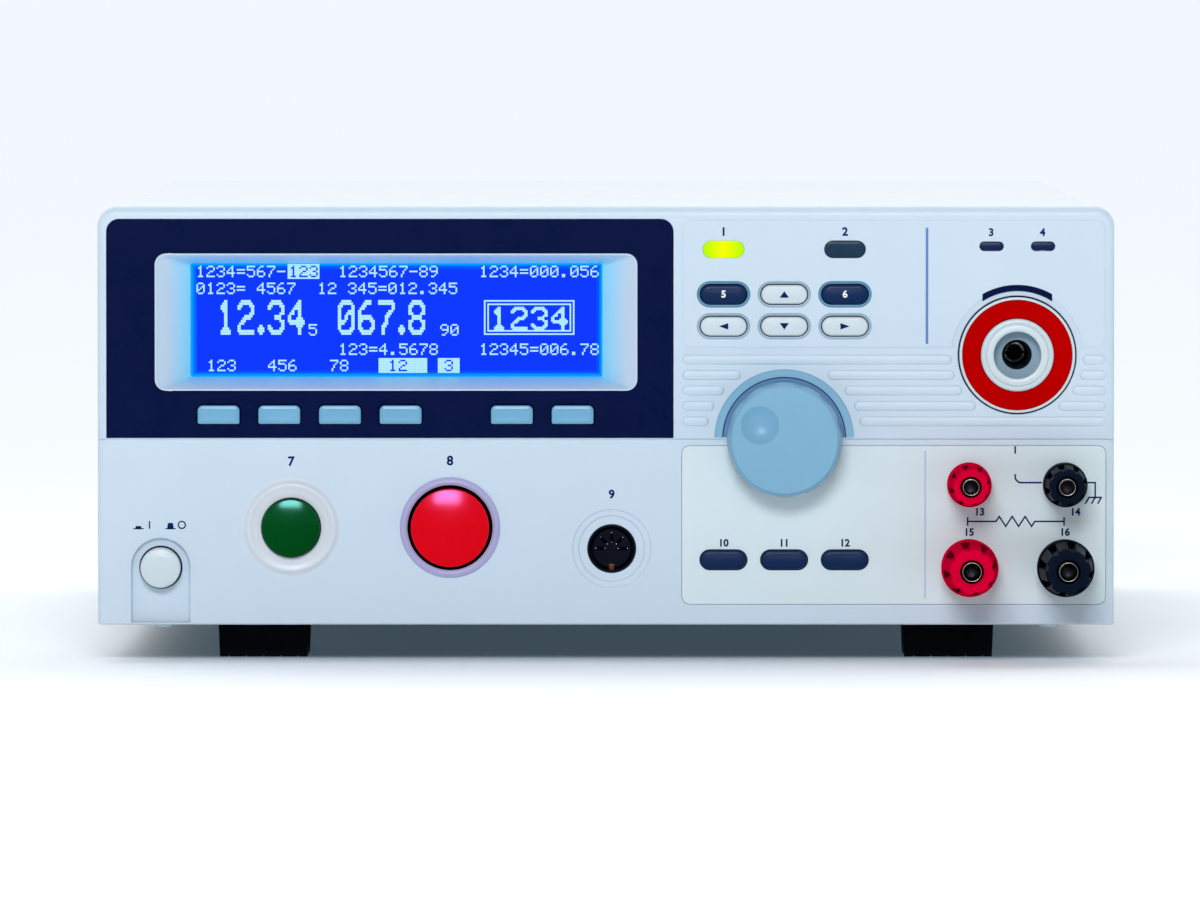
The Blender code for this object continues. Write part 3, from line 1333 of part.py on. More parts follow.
def fluted_outline(radius):
    """A circle with hollow flutes between wide ridges."""
    points = []
    ridge_share, floor_share = 0.3, 0.42
    for flute in range(POST_FLUTES):
        for share, depth in (
            (ridge_share, 0),
            (floor_share, POST_FLUTE_DEPTH),
            (1 - floor_share, POST_FLUTE_DEPTH),
            (1 - ridge_share, 0),
        ):
            angle = 2 * math.pi * (flute + share) / POST_FLUTES
            points.append(((radius - depth) * math.cos(angle), (radius - depth) * math.sin(angle)))
    return points


def binding_cap(kind, side, look):
    """A fluted screw cap that clamps a wire against the base as it is run in along the stud."""
    size = POST_SIZES[kind]
    name = f"{kind}_{side}_cap"
    place = front(POST_COLUMNS[side], POST_ROWS[kind])
    bottom = size["base_height"] + GAP
    top = size["reach"]
    cap = prism(
        name,
        [fluted_outline(size["nose"])],
        bottom + POST_CAP_SKIRT / 2,
        top,
        place,
        look=look,
        rim=0.7 * MM,
        rim_segments=1,
    )
    skirt = drum(f"{name}_skirt", size["cap"], bottom, bottom + POST_CAP_SKIRT, place, segments=SEGMENTS_POST)
    join(cap, [skirt])
    bore = drum(f"{name}_bore", size["stud"] + GAP, 0, 2 * top, place, segments=SEGMENTS_POST)
    mouth_radius = size["stud"] + POST_MOUTH_CHAMFER
    mouth = drum(f"{name}_mouth", mouth_radius, top - POST_MOUTH_CHAMFER, 2 * top, place, segments=SEGMENTS_POST)
    return cut(cap, [bore, mouth])


def binding_posts():
    for kind in POST_SIZES:
        for side, look in (("h", "red_plastic"), ("l", "black_plastic")):
            binding_post(kind, side, look)
            binding_cap(kind, side, look)


# Case


def channel(name, path, start_y, end_y, thickness, look):
    """A folded sheet: an open path in the X-Z plane swept along Y, then thickened with Solidify."""
    bm = bmesh.new()
    rows = [[bm.verts.new((x, y, z)) for x, z in path] for y in (start_y, end_y)]
    for i in range(len(path) - 1):
        bm.faces.new((rows[0][i], rows[0][i + 1], rows[1][i + 1], rows[1][i]))
    item = placed(name, mesh_of(bm, name), (0, 0, 0), FACING_UP, look)
    solidify = item.modifiers.new("Sheet", "SOLIDIFY")
    solidify.thickness = thickness
    solidify.offset = 0
    solidify.use_even_offset = True
    return item


def top_cover():
    """The painted cover: top and both sides in one folded sheet, with vent slots in the sides."""
    half = COVER_HALF_WIDTH - COVER_SHEET / 2
    top = COVER_TOP - COVER_SHEET / 2
    bend = COVER_BEND
    path = [(-half, TRAY_BOTTOM)]
    path += arc(-half + bend, top - bend, bend, 180, 90, 3)
    path += arc(half - bend, top - bend, bend, 90, 0, 3)
    path += [(half, TRAY_BOTTOM)]
    cover = channel("top_cover", path, FRAME_BACK_Y + GAP, REAR_Y, COVER_SHEET, "painted_steel")
    slots = []
    for column in range(VENT_COUNT):
        y = FRONT_Y + VENT_SETBACK + column * VENT_STEP_Y
        for x in (-COVER_HALF_WIDTH, COVER_HALF_WIDTH):
            corner = (x - 4 * COVER_SHEET, y - VENT_WIDTH / 2, VENT_RISE - VENT_HEIGHT / 2)
            opposite = (x + 4 * COVER_SHEET, y + VENT_WIDTH / 2, VENT_RISE + VENT_HEIGHT / 2)
            slots.append(box("vent_slot", corner, opposite))
    return cut(cover, slots)


def chassis_tray():
    """The steel floor of the case with its upturned sides, which carries everything inside."""
    half = TRAY_HALF_WIDTH - SHEET / 2
    floor = TRAY_BOTTOM + SHEET / 2
    bend = 1.5 * MM
    path = [(-half, TRAY_BOTTOM + TRAY_LIP)]
    path += arc(-half + bend, floor + bend, bend, 180, 270, 2)
    path += arc(half - bend, floor + bend, bend, 270, 360, 2)
    path += [(half, TRAY_BOTTOM + TRAY_LIP)]
    start = FRAME_BACK_Y - FRAME_DEPTH / 2
    return channel("chassis_tray", path, start, REAR_Y - GAP, SHEET, "zinc_steel")


def rear_panel():
    """The rear plate with its forward returns, a blanked option slot and an opening for each fitting."""
    half = TRAY_HALF_WIDTH - SHEET - GAP
    bottom = TRAY_FLOOR + GAP
    top = COVER_TOP - COVER_SHEET - GAP
    outline = rectangle(-half, bottom, half, top)
    panel = prism("rear_panel", [outline], -PANEL_RETURN, 0, (0, REAR_Y, 0), FACING_BACK, "painted_steel")
    inner = rectangle(-half + SHEET, bottom + SHEET, half - SHEET, top - SHEET)
    pan = prism("rear_pan", [inner], -2 * PANEL_RETURN, -SHEET, (0, REAR_Y, 0), FACING_BACK)
    cut(panel, [pan])
    blank_x, blank_z = rear_place(BLANK_INSET, BLANK_RISE)
    blank_outline = rectangle(
        -BLANK_WIDTH / 2, -BLANK_HEIGHT / 2, BLANK_WIDTH / 2, BLANK_HEIGHT / 2, 2 * MM, 2
    )
    blank = prism("option_blank", [blank_outline], -SHEET / 2, BLANK_PROUD, (blank_x, REAR_Y, blank_z), FACING_BACK)
    join(panel, [blank])
    fan_x, fan_z = fan_place()
    through = (-2 * SHEET, 2 * SHEET)
    openings = [
        drum("fan_opening", FAN_DUCT_RADIUS, *through, (fan_x, REAR_Y, fan_z), FACING_BACK, segments=SEGMENTS_LARGE)
    ]
    inlet_x, inlet_z = inlet_place()
    inlet_outline = rectangle(
        -INLET_WIDTH / 2 - GAP, -INLET_HEIGHT / 2 - GAP, INLET_WIDTH / 2 + GAP, INLET_HEIGHT / 2 + GAP
    )
    openings.append(prism("inlet_opening", [inlet_outline], *through, (inlet_x, REAR_Y, inlet_z), FACING_BACK))
    for x, z, width, height, _ in port_places():
        outline = rectangle(
            -width / 2 - GAP, -height / 2 - GAP, width / 2 + GAP, height / 2 + GAP
        )
        openings.append(prism("port_opening", [outline], *through, (x, REAR_Y, z), FACING_BACK))
    earth_x, earth_z = earth_place()
    openings.append(
        drum("earth_hole", EARTH_STUD_RADIUS + GAP, *through, (earth_x, REAR_Y, earth_z), FACING_BACK, segments=12)
    )
    return cut(panel, openings)


def rear_place(inset, rise):
    """A place on the rear panel, by its distance from the case's left side and from the table."""
    return (LEFT + inset, rise)


def fan_place():
    return (RIGHT - FAN_INSET, FOOT_HEIGHT + FAN_RISE)


def inlet_place():
    return rear_place(INLET_INSET, INLET_RISE)


def earth_place():
    return rear_place(EARTH_INSET, EARTH_RISE)


def port_places():
    """Two nine-way ports and a square USB port on one board: x, z, width, height, how far they stand out."""
    level = PORT_BOARD_RISE + BOARD_THICKNESS + PORT_LIFT
    z = level + SIGNAL_PORT_HEIGHT / 2
    usb_z = level + USB_HEIGHT / 2
    left = LEFT + PORT_SPAN
    return [
        (left, z, SIGNAL_PORT_WIDTH, SIGNAL_PORT_HEIGHT, PORT_PROUD),
        (left + PORT_STEP, z, SIGNAL_PORT_WIDTH, SIGNAL_PORT_HEIGHT, PORT_PROUD),
        (left + 2 * PORT_STEP, usb_z, USB_WIDTH, USB_HEIGHT, USB_PROUD),
    ]


def interface_board():
    """The rear circuit board on its standoffs, with the ports soldered to its edge."""
    ports = port_places()
    left = ports[0][0] - SIGNAL_PORT_WIDTH / 2 - PORT_MARGIN
    right = ports[-1][0] + USB_WIDTH / 2 + PORT_MARGIN
    back = REAR_Y - PANEL_RETURN - GAP
    outline = rectangle(left, back - PORT_BOARD_DEPTH, right, back)
    board = prism(
        "interface_board",
        [outline],
        PORT_BOARD_RISE,
        PORT_BOARD_RISE + BOARD_THICKNESS,
        facing=FACING_UP,
        look="circuit_board",
    )
    bodies = []
    for x, z, width, height, proud in ports:
        bodies.append(
            box(
                "port_body",
                (x - width / 2, back - PORT_BODY_DEPTH, PORT_BOARD_RISE + BOARD_THICKNESS / 2),
                (x + width / 2, back - PORT_LIFT, z + height / 2),
            )
        )
        shell = rectangle(x - width / 2, z - height / 2, x + width / 2, z + height / 2)
        inner = -PANEL_RETURN - 2 * PORT_LIFT
        nose = prism("port_shell", [mirrored(shell)], inner, proud, (0, REAR_Y, 0), FACING_BACK)
        bodies.append(nose)
    for x in (left + PORT_MARGIN, right - PORT_MARGIN):
        bodies.append(
            drum(
                "port_standoff",
                STANDOFF_RADIUS,
                TRAY_FLOOR + GAP,
                PORT_BOARD_RISE + BOARD_THICKNESS / 2,
                (x, back - PORT_BOARD_DEPTH / 2, 0),
                FACING_UP,
                segments=8,
            )
        )
    join(board, bodies)
    x, z, width, height, proud = ports[-1]
    mouth = USB_MOUTH / 2
    usb_mouth = prism(
        "usb_mouth",
        [rectangle(-mouth, -mouth, mouth, mouth)],
        proud - PORT_BODY_DEPTH,
        2 * proud,
        (x, REAR_Y, z),
        FACING_BACK,
    )
    return cut(board, [usb_mouth])


def mirrored(outline):
    return [(-x, z) for x, z in reversed(outline)]


def earth_terminal():
    """The protective earth screw: stud, washer plate and thumb nut in one stack."""
    x, z = earth_place()
    profile = [
        (0, EARTH_REACH),
        (EARTH_STUD_RADIUS, EARTH_REACH - 0.5 * MM),
        (EARTH_STUD_RADIUS, 9 * MM),
        (EARTH_RADIUS - 0.6 * MM, 9 * MM),
        (EARTH_RADIUS, 8.4 * MM),
        (EARTH_RADIUS, 3 * MM),
        (EARTH_STUD_RADIUS + 2 * MM, 2.4 * MM),
        (EARTH_STUD_RADIUS + 2 * MM, GAP),
        (EARTH_STUD_RADIUS, GAP),
        (EARTH_STUD_RADIUS, -SHEET - GAP),
        (EARTH_RADIUS, -SHEET - GAP),
        (EARTH_RADIUS, -SHEET - 4 * MM),
        (0, -SHEET - 4 * MM),
    ]
    return turned("earth_terminal", profile, (x, REAR_Y, z), FACING_BACK, "plated_brass", segments=SEGMENTS_SMALL)


def mains_inlet():
    """The mains inlet: flange outside the panel, body inside, a deep cavity with its three blades."""
    x, z = inlet_place()
    place = (x, REAR_Y, z)
    half_w, half_h = INLET_WIDTH / 2, INLET_HEIGHT / 2
    body = rectangle(-half_w, -half_h, half_w, half_h)
    inlet = prism("mains_inlet", [body], -INLET_DEPTH, MM, place, FACING_BACK, "black_plastic")
    flange = rectangle(-half_w - INLET_FLANGE, -half_h - 2 * MM, half_w + INLET_FLANGE, half_h + 2 * MM, 2 * MM, 2)
    plate = prism("inlet_flange", [flange], GAP, INLET_FLANGE_THICKNESS, place, FACING_BACK)
    join(inlet, [plate])
    margin = INLET_CAVITY_MARGIN
    chamfer = 4 * MM
    cavity = [
        (-half_w + margin, -half_h + margin),
        (half_w - margin, -half_h + margin),
        (half_w - margin, half_h - margin - chamfer),
        (half_w - margin - chamfer, half_h - margin),
        (-half_w + margin + chamfer, half_h - margin),
        (-half_w + margin, half_h - margin - chamfer),
    ]
    mouth = prism(
        "inlet_mouth", [cavity], INLET_FLANGE_THICKNESS - INLET_CAVITY_DEPTH, 2 * INLET_FLANGE_THICKNESS, place, FACING_BACK
    )
    cut(inlet, [mouth])
    pins = []
    for pin_x, pin_z in ((-PIN_STEP / 2, -PIN_RISE / 2), (PIN_STEP / 2, -PIN_RISE / 2), (0, PIN_RISE / 2)):
        blade = rectangle(
            pin_x - PIN_WIDTH / 2, pin_z - PIN_HEIGHT / 2, pin_x + PIN_WIDTH / 2, pin_z + PIN_HEIGHT / 2
        )
        pins.append(
            prism("inlet_pin", [blade], -INLET_CAVITY_DEPTH, INLET_FLANGE_THICKNESS - 2 * MM, place, FACING_BACK)
        )
    return join(inlet, pins)


def fan():
    """An axial fan: square frame with struts to its motor, the rotor, and the wire guard outside."""
    x, z = fan_place()
    mount = REAR_Y - SHEET - GAP
    half = FAN_SIZE / 2
    outline = rectangle(-half, -half, half, half, FAN_CORNER, 2)
    duct = circle(0, 0, FAN_DUCT_RADIUS, SEGMENTS_LARGE)
    frame = prism("fan_frame", [outline, duct], -FAN_DEPTH, 0, (x, mount, z), FACING_BACK, "black_plastic")
    struts = [
        drum("fan_motor", FAN_HUB_RADIUS, -FAN_DEPTH, -FAN_DEPTH + FAN_STRUT_DEPTH, (x, mount, z), FACING_BACK)
    ]
    for turn in (45, 135):
        reach = FAN_DUCT_RADIUS + MM
        bar = rectangle(-reach, -FAN_STRUT / 2, reach, FAN_STRUT / 2)
        spun = [rotated(point, turn) for point in bar]
        struts.append(
            prism("fan_strut", [spun], -FAN_DEPTH, -FAN_DEPTH + FAN_STRUT_DEPTH, (x, mount, z), FACING_BACK)
        )
    join(frame, struts)
    fan_rotor(x, mount, z)
    fan_guard(x, z)


def rotated(point, degrees):
    angle = math.radians(degrees)
    u, v = point
    return (u * math.cos(angle) - v * math.sin(angle), u * math.sin(angle) + v * math.cos(angle))


def fan_rotor(x, mount, z):
    """The hub and its pitched blades, each blade a twisted loft from root to tip."""
    back = -FAN_DEPTH + FAN_STRUT_DEPTH + GAP
    front_face = -2 * MM
    hub = drum("fan_rotor", FAN_HUB_RADIUS, back, front_face, (x, mount, z), FACING_BACK, "black_plastic")
    blades = []
    tip = FAN_DUCT_RADIUS - FAN_TIP_GAP
    root = FAN_HUB_RADIUS - 2 * MM
    middle = (back + front_face) / 2
    for step in range(FAN_BLADES):
        bm = bmesh.new()
        rings = []
        for radius, chord, pitch in ((root, 15 * MM, 50), (tip, 22 * MM, 32)):
            slope = math.radians(pitch)
            ring = []
            for along, across in ((-0.5, -0.5), (0.5, -0.5), (0.5, 0.5), (-0.5, 0.5)):
                u = along * chord * math.cos(slope) - across * 1.6 * MM * math.sin(slope)
                w = along * chord * math.sin(slope) + across * 1.6 * MM * math.cos(slope)
                swept = u / radius
                ring.append(bm.verts.new((radius * math.cos(swept), radius * math.sin(swept), middle + w)))
            rings.append(ring)
        for i in range(4):
            j = (i + 1) % 4
            bm.faces.new((rings[0][i], rings[0][j], rings[1][j], rings[1][i]))
        bm.faces.new(rings[0])
        bm.faces.new(reversed(rings[1]))
        turn = Matrix.Rotation(2 * math.pi * step / FAN_BLADES, 3, "Z")
        bmesh.ops.rotate(bm, verts=bm.verts, matrix=turn)
        blades.append(placed("fan_blade", mesh_of(bm, "fan_blade"), (x, mount, z), FACING_BACK))
    return join(hub, blades)


def fan_guard(x, z):
    """Concentric wire rings on two crossed wires, standing just off the rear panel."""
    lift = GAP + GUARD_WIRE_RADIUS
    reach = FAN_SIZE / 2 * math.sqrt(2) - FAN_CORNER
    arms = []
    for turn in (45, 135):
        outline = [rotated(point, turn) for point in rectangle(-reach, -1.1 * MM, reach, 1.1 * MM)]
        arms.append(prism("guard_arm", [outline], GAP, GAP + 2 * GUARD_WIRE_RADIUS, (x, REAR_Y, z), FACING_BACK))
    rings = []
    for number in range(GUARD_RINGS):
        radius = GUARD_REACH - number * GUARD_RING_STEP
        section = arc(radius, lift, GUARD_WIRE_RADIUS, 90, -270, 4)[:-1]
        rings.append(turned(f"guard_ring_{number}", section, (x, REAR_Y, z), FACING_BACK, segments=18, closed=True))
    guard = arms[0]
    guard.name = "fan_guard"
    CUTTERS.objects.unlink(guard)
    PIECES.objects.link(guard)
    guard.hide_render = False
    guard.display_type = "TEXTURED"
    guard.data.materials.append(material("zinc_steel"))
    return join(guard, [arms[1], *rings])


# Feet


def foot_outline(width, taper):
    """The foot's tapered front view, from the sole up to the tray."""
    top = TRAY_BOTTOM - GAP
    return [(-width / 2 + taper, 0), (width / 2 - taper, 0), (width / 2, top), (-width / 2, top)]


def foot(name, x, start_y, look="black_plastic"):
    """A moulded foot with treads across its sole."""
    shape = prism(
        name, [foot_outline(FOOT_WIDTH, FOOT_TAPER)], -FOOT_LENGTH, 0, (x, start_y, 0), FACING_FRONT, look
    )
    treads = []
    step = (FOOT_WIDTH - 2 * FOOT_RAIL) / (FOOT_TREADS - 1)
    for number in range(FOOT_TREADS):
        offset = -FOOT_WIDTH / 2 + FOOT_RAIL + number * step
        depth = FOOT_TREAD_DEPTH
        vee = [(offset - depth, -depth), (offset + depth, -depth), (offset, depth)]
        treads.append(prism("tread", [vee], -2 * FOOT_LENGTH, FOOT_LENGTH, (x, start_y, 0)))
    return cut(shape, treads)


def leg_sizes():
    """(half width, hinge y behind the foot's front, hinge z, length back from the hinge)."""
    half = FOOT_WIDTH / 2 - FOOT_TAPER - FOOT_RAIL - GAP
    hinge_z = LEG_SOLE_CLEARANCE + LEG_HINGE_RADIUS
    hinge_y = FOOT_WALL + LEG_HINGE_RADIUS + 1.2 * MM
    length = FOOT_LENGTH - hinge_y - FOOT_WALL - GAP
    return half, hinge_y, hinge_z, length


def front_feet():
    half, hinge_y, hinge_z, length = leg_sizes()
    start_y = FRONT_Y + FOOT_SETBACK
    for side, x in (("left", -FOOT_SPREAD / 2), ("right", FOOT_SPREAD / 2)):
        body = foot(f"front_foot_{side}", x, start_y)
        ceiling = LEG_SOLE_CLEARANCE + LEG_THICKNESS + 2 * GAP
        room = hinge_z + half_diagonal() + GAP
        pocket = box(
            "leg_pocket",
            (x - half - GAP, start_y + FOOT_WALL, -MM),
            (x + half + GAP, start_y + FOOT_LENGTH - FOOT_WALL, ceiling),
        )
        swing = box(
            "leg_swing",
            (x - half - GAP, start_y + FOOT_WALL, -2 * MM),
            (x + half + GAP, start_y + hinge_y + half_diagonal() + GAP, room),
        )
        socket = drum(
            "pin_socket",
            LEG_PIN_RADIUS + GAP,
            x - half - 2.2 * MM,
            x + half + 2.2 * MM,
            (0, start_y + hinge_y, hinge_z),
            (0, math.radians(90), 0),
            segments=10,
        )
        cut(body, [pocket, swing, socket])
        tilt_leg(f"tilt_leg_{side}", x, start_y + hinge_y, hinge_z, half, length)


def half_diagonal():
    """How far the leg's square hinge end reaches from its pin."""
    return math.hypot(LEG_HINGE_RADIUS, LEG_THICKNESS / 2)


def tilt_leg(name, x, hinge_y, hinge_z, half, length):
    """A folding leg: a flat tongue with a rounded hinge end and its two pin stubs."""
    low = -LEG_HINGE_RADIUS
    high = LEG_THICKNESS - LEG_HINGE_RADIUS
    barrel = arc(0, 0, LEG_HINGE_RADIUS, 90, 270, 6)
    outline = [(y, z) for y, z in barrel] + [(length, low), (length, high - 1.2 * MM), (length - 1.2 * MM, high)]
    outline.append((0, high) if high < LEG_HINGE_RADIUS else (MM, high))
    tongue = prism(
        name,
        [outline],
        -half,
        half,
        (x, hinge_y, hinge_z),
        (math.radians(90), 0, math.radians(90)),
        "black_plastic",
    )
    pin = drum(
        f"{name}_pin",
        LEG_PIN_RADIUS,
        -half - 2 * MM,
        half + 2 * MM,
        (x, hinge_y, hinge_z),
        (0, math.radians(90), 0),
        segments=8,
    )
    return join(tongue, [pin])


def rear_feet():
    start_y = REAR_Y - FOOT_SETBACK - FOOT_LENGTH
    for side, x in (("left", -FOOT_SPREAD / 2), ("right", FOOT_SPREAD / 2)):
        foot(f"rear_foot_{side}", x, start_y)


# Inside the case


def power_transformer():
    """A laminated core with its winding standing out at both ends, on two feet."""
    x = RIGHT - TRANSFORMER_INSET
    y = FRONT_Y + TRANSFORMER_SETBACK
    bottom = TRAY_FLOOR + GAP
    half_w, half_l = TRANSFORMER_WIDTH / 2, TRANSFORMER_LENGTH / 2
    core = box(
        "power_transformer",
        (x - half_w, y - half_l + TRANSFORMER_WINDING, bottom),
        (x + half_w, y + half_l - TRANSFORMER_WINDING, bottom + TRANSFORMER_HEIGHT),
        "transformer_steel",
    )
    inner_w = half_w - TRANSFORMER_WINDING
    outline = rectangle(-inner_w, TRANSFORMER_WINDING, inner_w, TRANSFORMER_HEIGHT - TRANSFORMER_WINDING, 8 * MM, 3)
    winding = prism("power_winding", [outline], -half_l, half_l, (x, y, bottom), rim=4 * MM)
    return join(core, [winding])


def hv_transformer():
    """A potted ring transformer clamped to the tray by a centre bolt hole."""
    x = LEFT + HV_TRANSFORMER_INSET
    y = FRONT_Y + HV_TRANSFORMER_SETBACK
    soft = 6 * MM
    bottom = TRAY_FLOOR + GAP
    top = bottom + HV_TRANSFORMER_HEIGHT
    outer = HV_TRANSFORMER_RADIUS
    profile = [
        (HV_TRANSFORMER_HOLE, top),
        (outer - soft, top),
        (outer, top - soft),
        (outer, bottom + soft),
        (outer - soft, bottom),
        (HV_TRANSFORMER_HOLE, bottom),
    ]
    return turned("hv_transformer", profile, (x, y, 0), FACING_UP, "potting", segments=SEGMENTS_MEDIUM, closed=True)


def amplifier_heatsink():
    """The power amplifier's extruded heat sink, its fins in one comb outline."""
    x = LEFT + SINK_INSET
    start = FRONT_Y + SINK_SETBACK
    bottom = TRAY_FLOOR + GAP
    pitch = (SINK_WIDTH - SINK_FIN_THICKNESS) / (SINK_FINS - 1)
    outline = [(SINK_WIDTH / 2, 0)]
    for number in range(SINK_FINS - 1, -1, -1):
        left = -SINK_WIDTH / 2 + number * pitch
        right = left + SINK_FIN_THICKNESS
        outline += [(right, SINK_BASE), (right, SINK_HEIGHT), (left, SINK_HEIGHT), (left, SINK_BASE)]
    outline = [p for i, p in enumerate(outline) if i not in (1, len(outline) - 1)]
    outline.append((-SINK_WIDTH / 2, 0))
    return prism(
        "amplifier_heatsink", [outline], -SINK_LENGTH, 0, (x, start, bottom), FACING_FRONT, "aluminium"
    )


def control_board():
    """The control circuit board on four standoffs, with its relays and shielded converter."""
    x = RIGHT - CONTROL_BOARD_INSET
    y = FRONT_Y + CONTROL_BOARD_SETBACK
    half = CONTROL_BOARD_WIDTH / 2
    level = TRAY_FLOOR + CONTROL_BOARD_RISE
    outline = rectangle(x - half, y, x + half, y + CONTROL_BOARD_LENGTH)
    board = prism(
        "control_board", [outline], level, level + BOARD_THICKNESS, facing=FACING_UP, look="circuit_board"
    )
    fittings = []
    for corner_x in (x - half + STANDOFF_INSET, x + half - STANDOFF_INSET):
        for corner_y in (y + STANDOFF_INSET, y + CONTROL_BOARD_LENGTH - STANDOFF_INSET):
            fittings.append(
                drum(
                    "standoff",
                    STANDOFF_RADIUS,
                    TRAY_FLOOR + GAP,
                    level + BOARD_THICKNESS / 2,
                    (corner_x, corner_y, 0),
                    FACING_UP,
                    segments=8,
                )
            )
    sole, surface = level + BOARD_THICKNESS / 2, level + BOARD_THICKNESS
    front_edge = y + RELAY_SETBACK
    for number in range(RELAY_COUNT):
        left = x - half + RELAY_INSET + number * RELAY_STEP
        corner = (left + RELAY_WIDTH, front_edge + RELAY_LENGTH, surface + RELAY_HEIGHT)
        fittings.append(box("relay", (left, front_edge, sole), corner))
    reach = half - CONVERTER_MARGIN
    start = y + CONVERTER_SETBACK
    corner = (x + reach, start + CONVERTER_LENGTH, surface + CONVERTER_HEIGHT)
    fittings.append(box("converter_can", (x - reach, start, sole), corner))
    return join(board, fittings)


def finish_pieces():
    """Gives each piece the mesh that its modifiers make, in one evaluation of the scene."""
    graph = bpy.context.evaluated_depsgraph_get()
    finished = {
        piece: bpy.data.meshes.new_from_object(piece.evaluated_get(graph))
        for piece in PIECES.objects
        if piece.modifiers
    }
    for piece, mesh in finished.items():
        piece.modifiers.clear()
        piece.data = mesh


clear_scene()
PIECES = collection("hipot_tester")
CUTTERS = collection("cutters")

front_frame()
display_panel()
lower_overlay()
lcd_module()
keys()
lamp("pass_lamp", KEY_COLUMNS[0], "lamp_green")
lamp("fail_lamp", KEY_COLUMNS[2], "lamp_dark")
status_lens()
switches()
power_button()
dial()
panel_board()
high_voltage_terminal()
remote_socket()
binding_posts()
top_cover()
chassis_tray()
rear_panel()
interface_board()
earth_terminal()
mains_inlet()
fan()
front_feet()
rear_feet()
power_transformer()
hv_transformer()
amplifier_heatsink()
control_board()
finish_pieces()
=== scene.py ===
"""Looks of the benchtop hipot tester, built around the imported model. +Z is up and the front faces -Y.

Sizes are in millimetres, and vertices are scaled to metres where they are made. A front outline is a
list of (x, z) points, counter-clockwise as the user sees it. A shape is a function that gives such an
outline, grown by a distance. Rows of (grow, y) or (radius, y) run from the middle outwards, and a row
with a third number has its corner rounded by that radius.
"""

import math

import bmesh
import bpy
from mathutils import Matrix, Vector
from mathutils.geometry import tessellate_polygon


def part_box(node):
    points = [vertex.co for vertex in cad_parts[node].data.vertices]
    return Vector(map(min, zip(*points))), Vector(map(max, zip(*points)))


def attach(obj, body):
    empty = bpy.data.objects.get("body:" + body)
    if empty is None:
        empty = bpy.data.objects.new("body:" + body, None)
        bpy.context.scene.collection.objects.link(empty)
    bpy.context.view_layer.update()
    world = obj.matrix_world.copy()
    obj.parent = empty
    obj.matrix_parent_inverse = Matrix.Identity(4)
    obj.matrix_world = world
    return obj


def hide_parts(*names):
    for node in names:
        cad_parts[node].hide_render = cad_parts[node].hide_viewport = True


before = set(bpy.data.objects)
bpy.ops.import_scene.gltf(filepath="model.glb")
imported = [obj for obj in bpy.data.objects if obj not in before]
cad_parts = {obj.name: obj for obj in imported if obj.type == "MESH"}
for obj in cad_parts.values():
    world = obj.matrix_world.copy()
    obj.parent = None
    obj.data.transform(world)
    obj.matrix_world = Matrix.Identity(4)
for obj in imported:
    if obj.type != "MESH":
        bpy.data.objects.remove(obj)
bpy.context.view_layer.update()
MM = 0.001


def span(name):
    """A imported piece's lowest and highest corners, in millimetres."""
    low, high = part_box(name)
    return low / MM, high / MM


def middle(name):
    low, high = span(name)
    return (low + high) / 2


# Camera, measured from the photograph: it looks slightly down from far in front
CAMERA_X, CAMERA_HEIGHT, CAMERA_DISTANCE = 1.7, 228, 4400
AIM_X, AIM_HEIGHT = -1.9, 68.8
CAMERA_LENS = 406.8

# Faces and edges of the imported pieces
BEZEL_LOW, BEZEL_HIGH = span("front_frame")
LEFT, RIGHT, BOTTOM, TOP = BEZEL_LOW.x, BEZEL_HIGH.x, BEZEL_LOW.z, BEZEL_HIGH.z
BEZEL_BACK = BEZEL_HIGH.y
PANEL_LOW, PANEL_HIGH = span("display_panel")
FILM_LOW, FILM_HIGH = span("lower_overlay")
LCD_LOW, LCD_HIGH = span("lcd_module")
REAR_FOLD = 1.2
REAR = span("rear_panel")[1].y - REAR_FOLD
UPPER_Y, LOWER_Y = PANEL_LOW.y, FILM_LOW.y
STEP = LOWER_Y - UPPER_Y
SEAM = PANEL_LOW.z - 0.3

# Bezel mouldings
SIDE_ROUND, TOP_ROUND, FOOT_ROUND, BACK_ROUND = 1.8, 3.0, 0.8, 0.6
CORNER, FOOT_CORNER = 6.5, 1.2
BACK_LIP = 12
SEAM_ROUND = 0.3
PANEL_CORNER, PANEL_GAP = 4.0, 0.15
LEGEND_PROUD, LEGEND_CORNER, LEGEND_EDGE, LEGEND_BOTTOM = 0.3, 3.2, 0.5, 101.9
LEGEND_Y = UPPER_Y - LEGEND_PROUD
RIB_ROWS, RIB_STEP, RIB_HEIGHT, RIB_PROUD, RIB_RISE = 5, 5.02, 3.2, 0.6, 5.7
FUNNEL_DEPTH, FUNNEL_CORNER, FUNNEL_SIDE, FUNNEL_BELOW, FUNNEL_ABOVE = 9.0, 3.6, 11.3, 4.2, 3.3
LCD_RIM, LCD_CORNER, LCD_SINK = 6.0, 0.8, 0.6
SCREEN_LOW = (LCD_LOW.x + LCD_RIM, LCD_LOW.z + LCD_RIM)
SCREEN_HIGH = (LCD_HIGH.x - LCD_RIM, LCD_HIGH.z - LCD_RIM)
SCREEN_Y = LCD_LOW.y + LCD_SINK

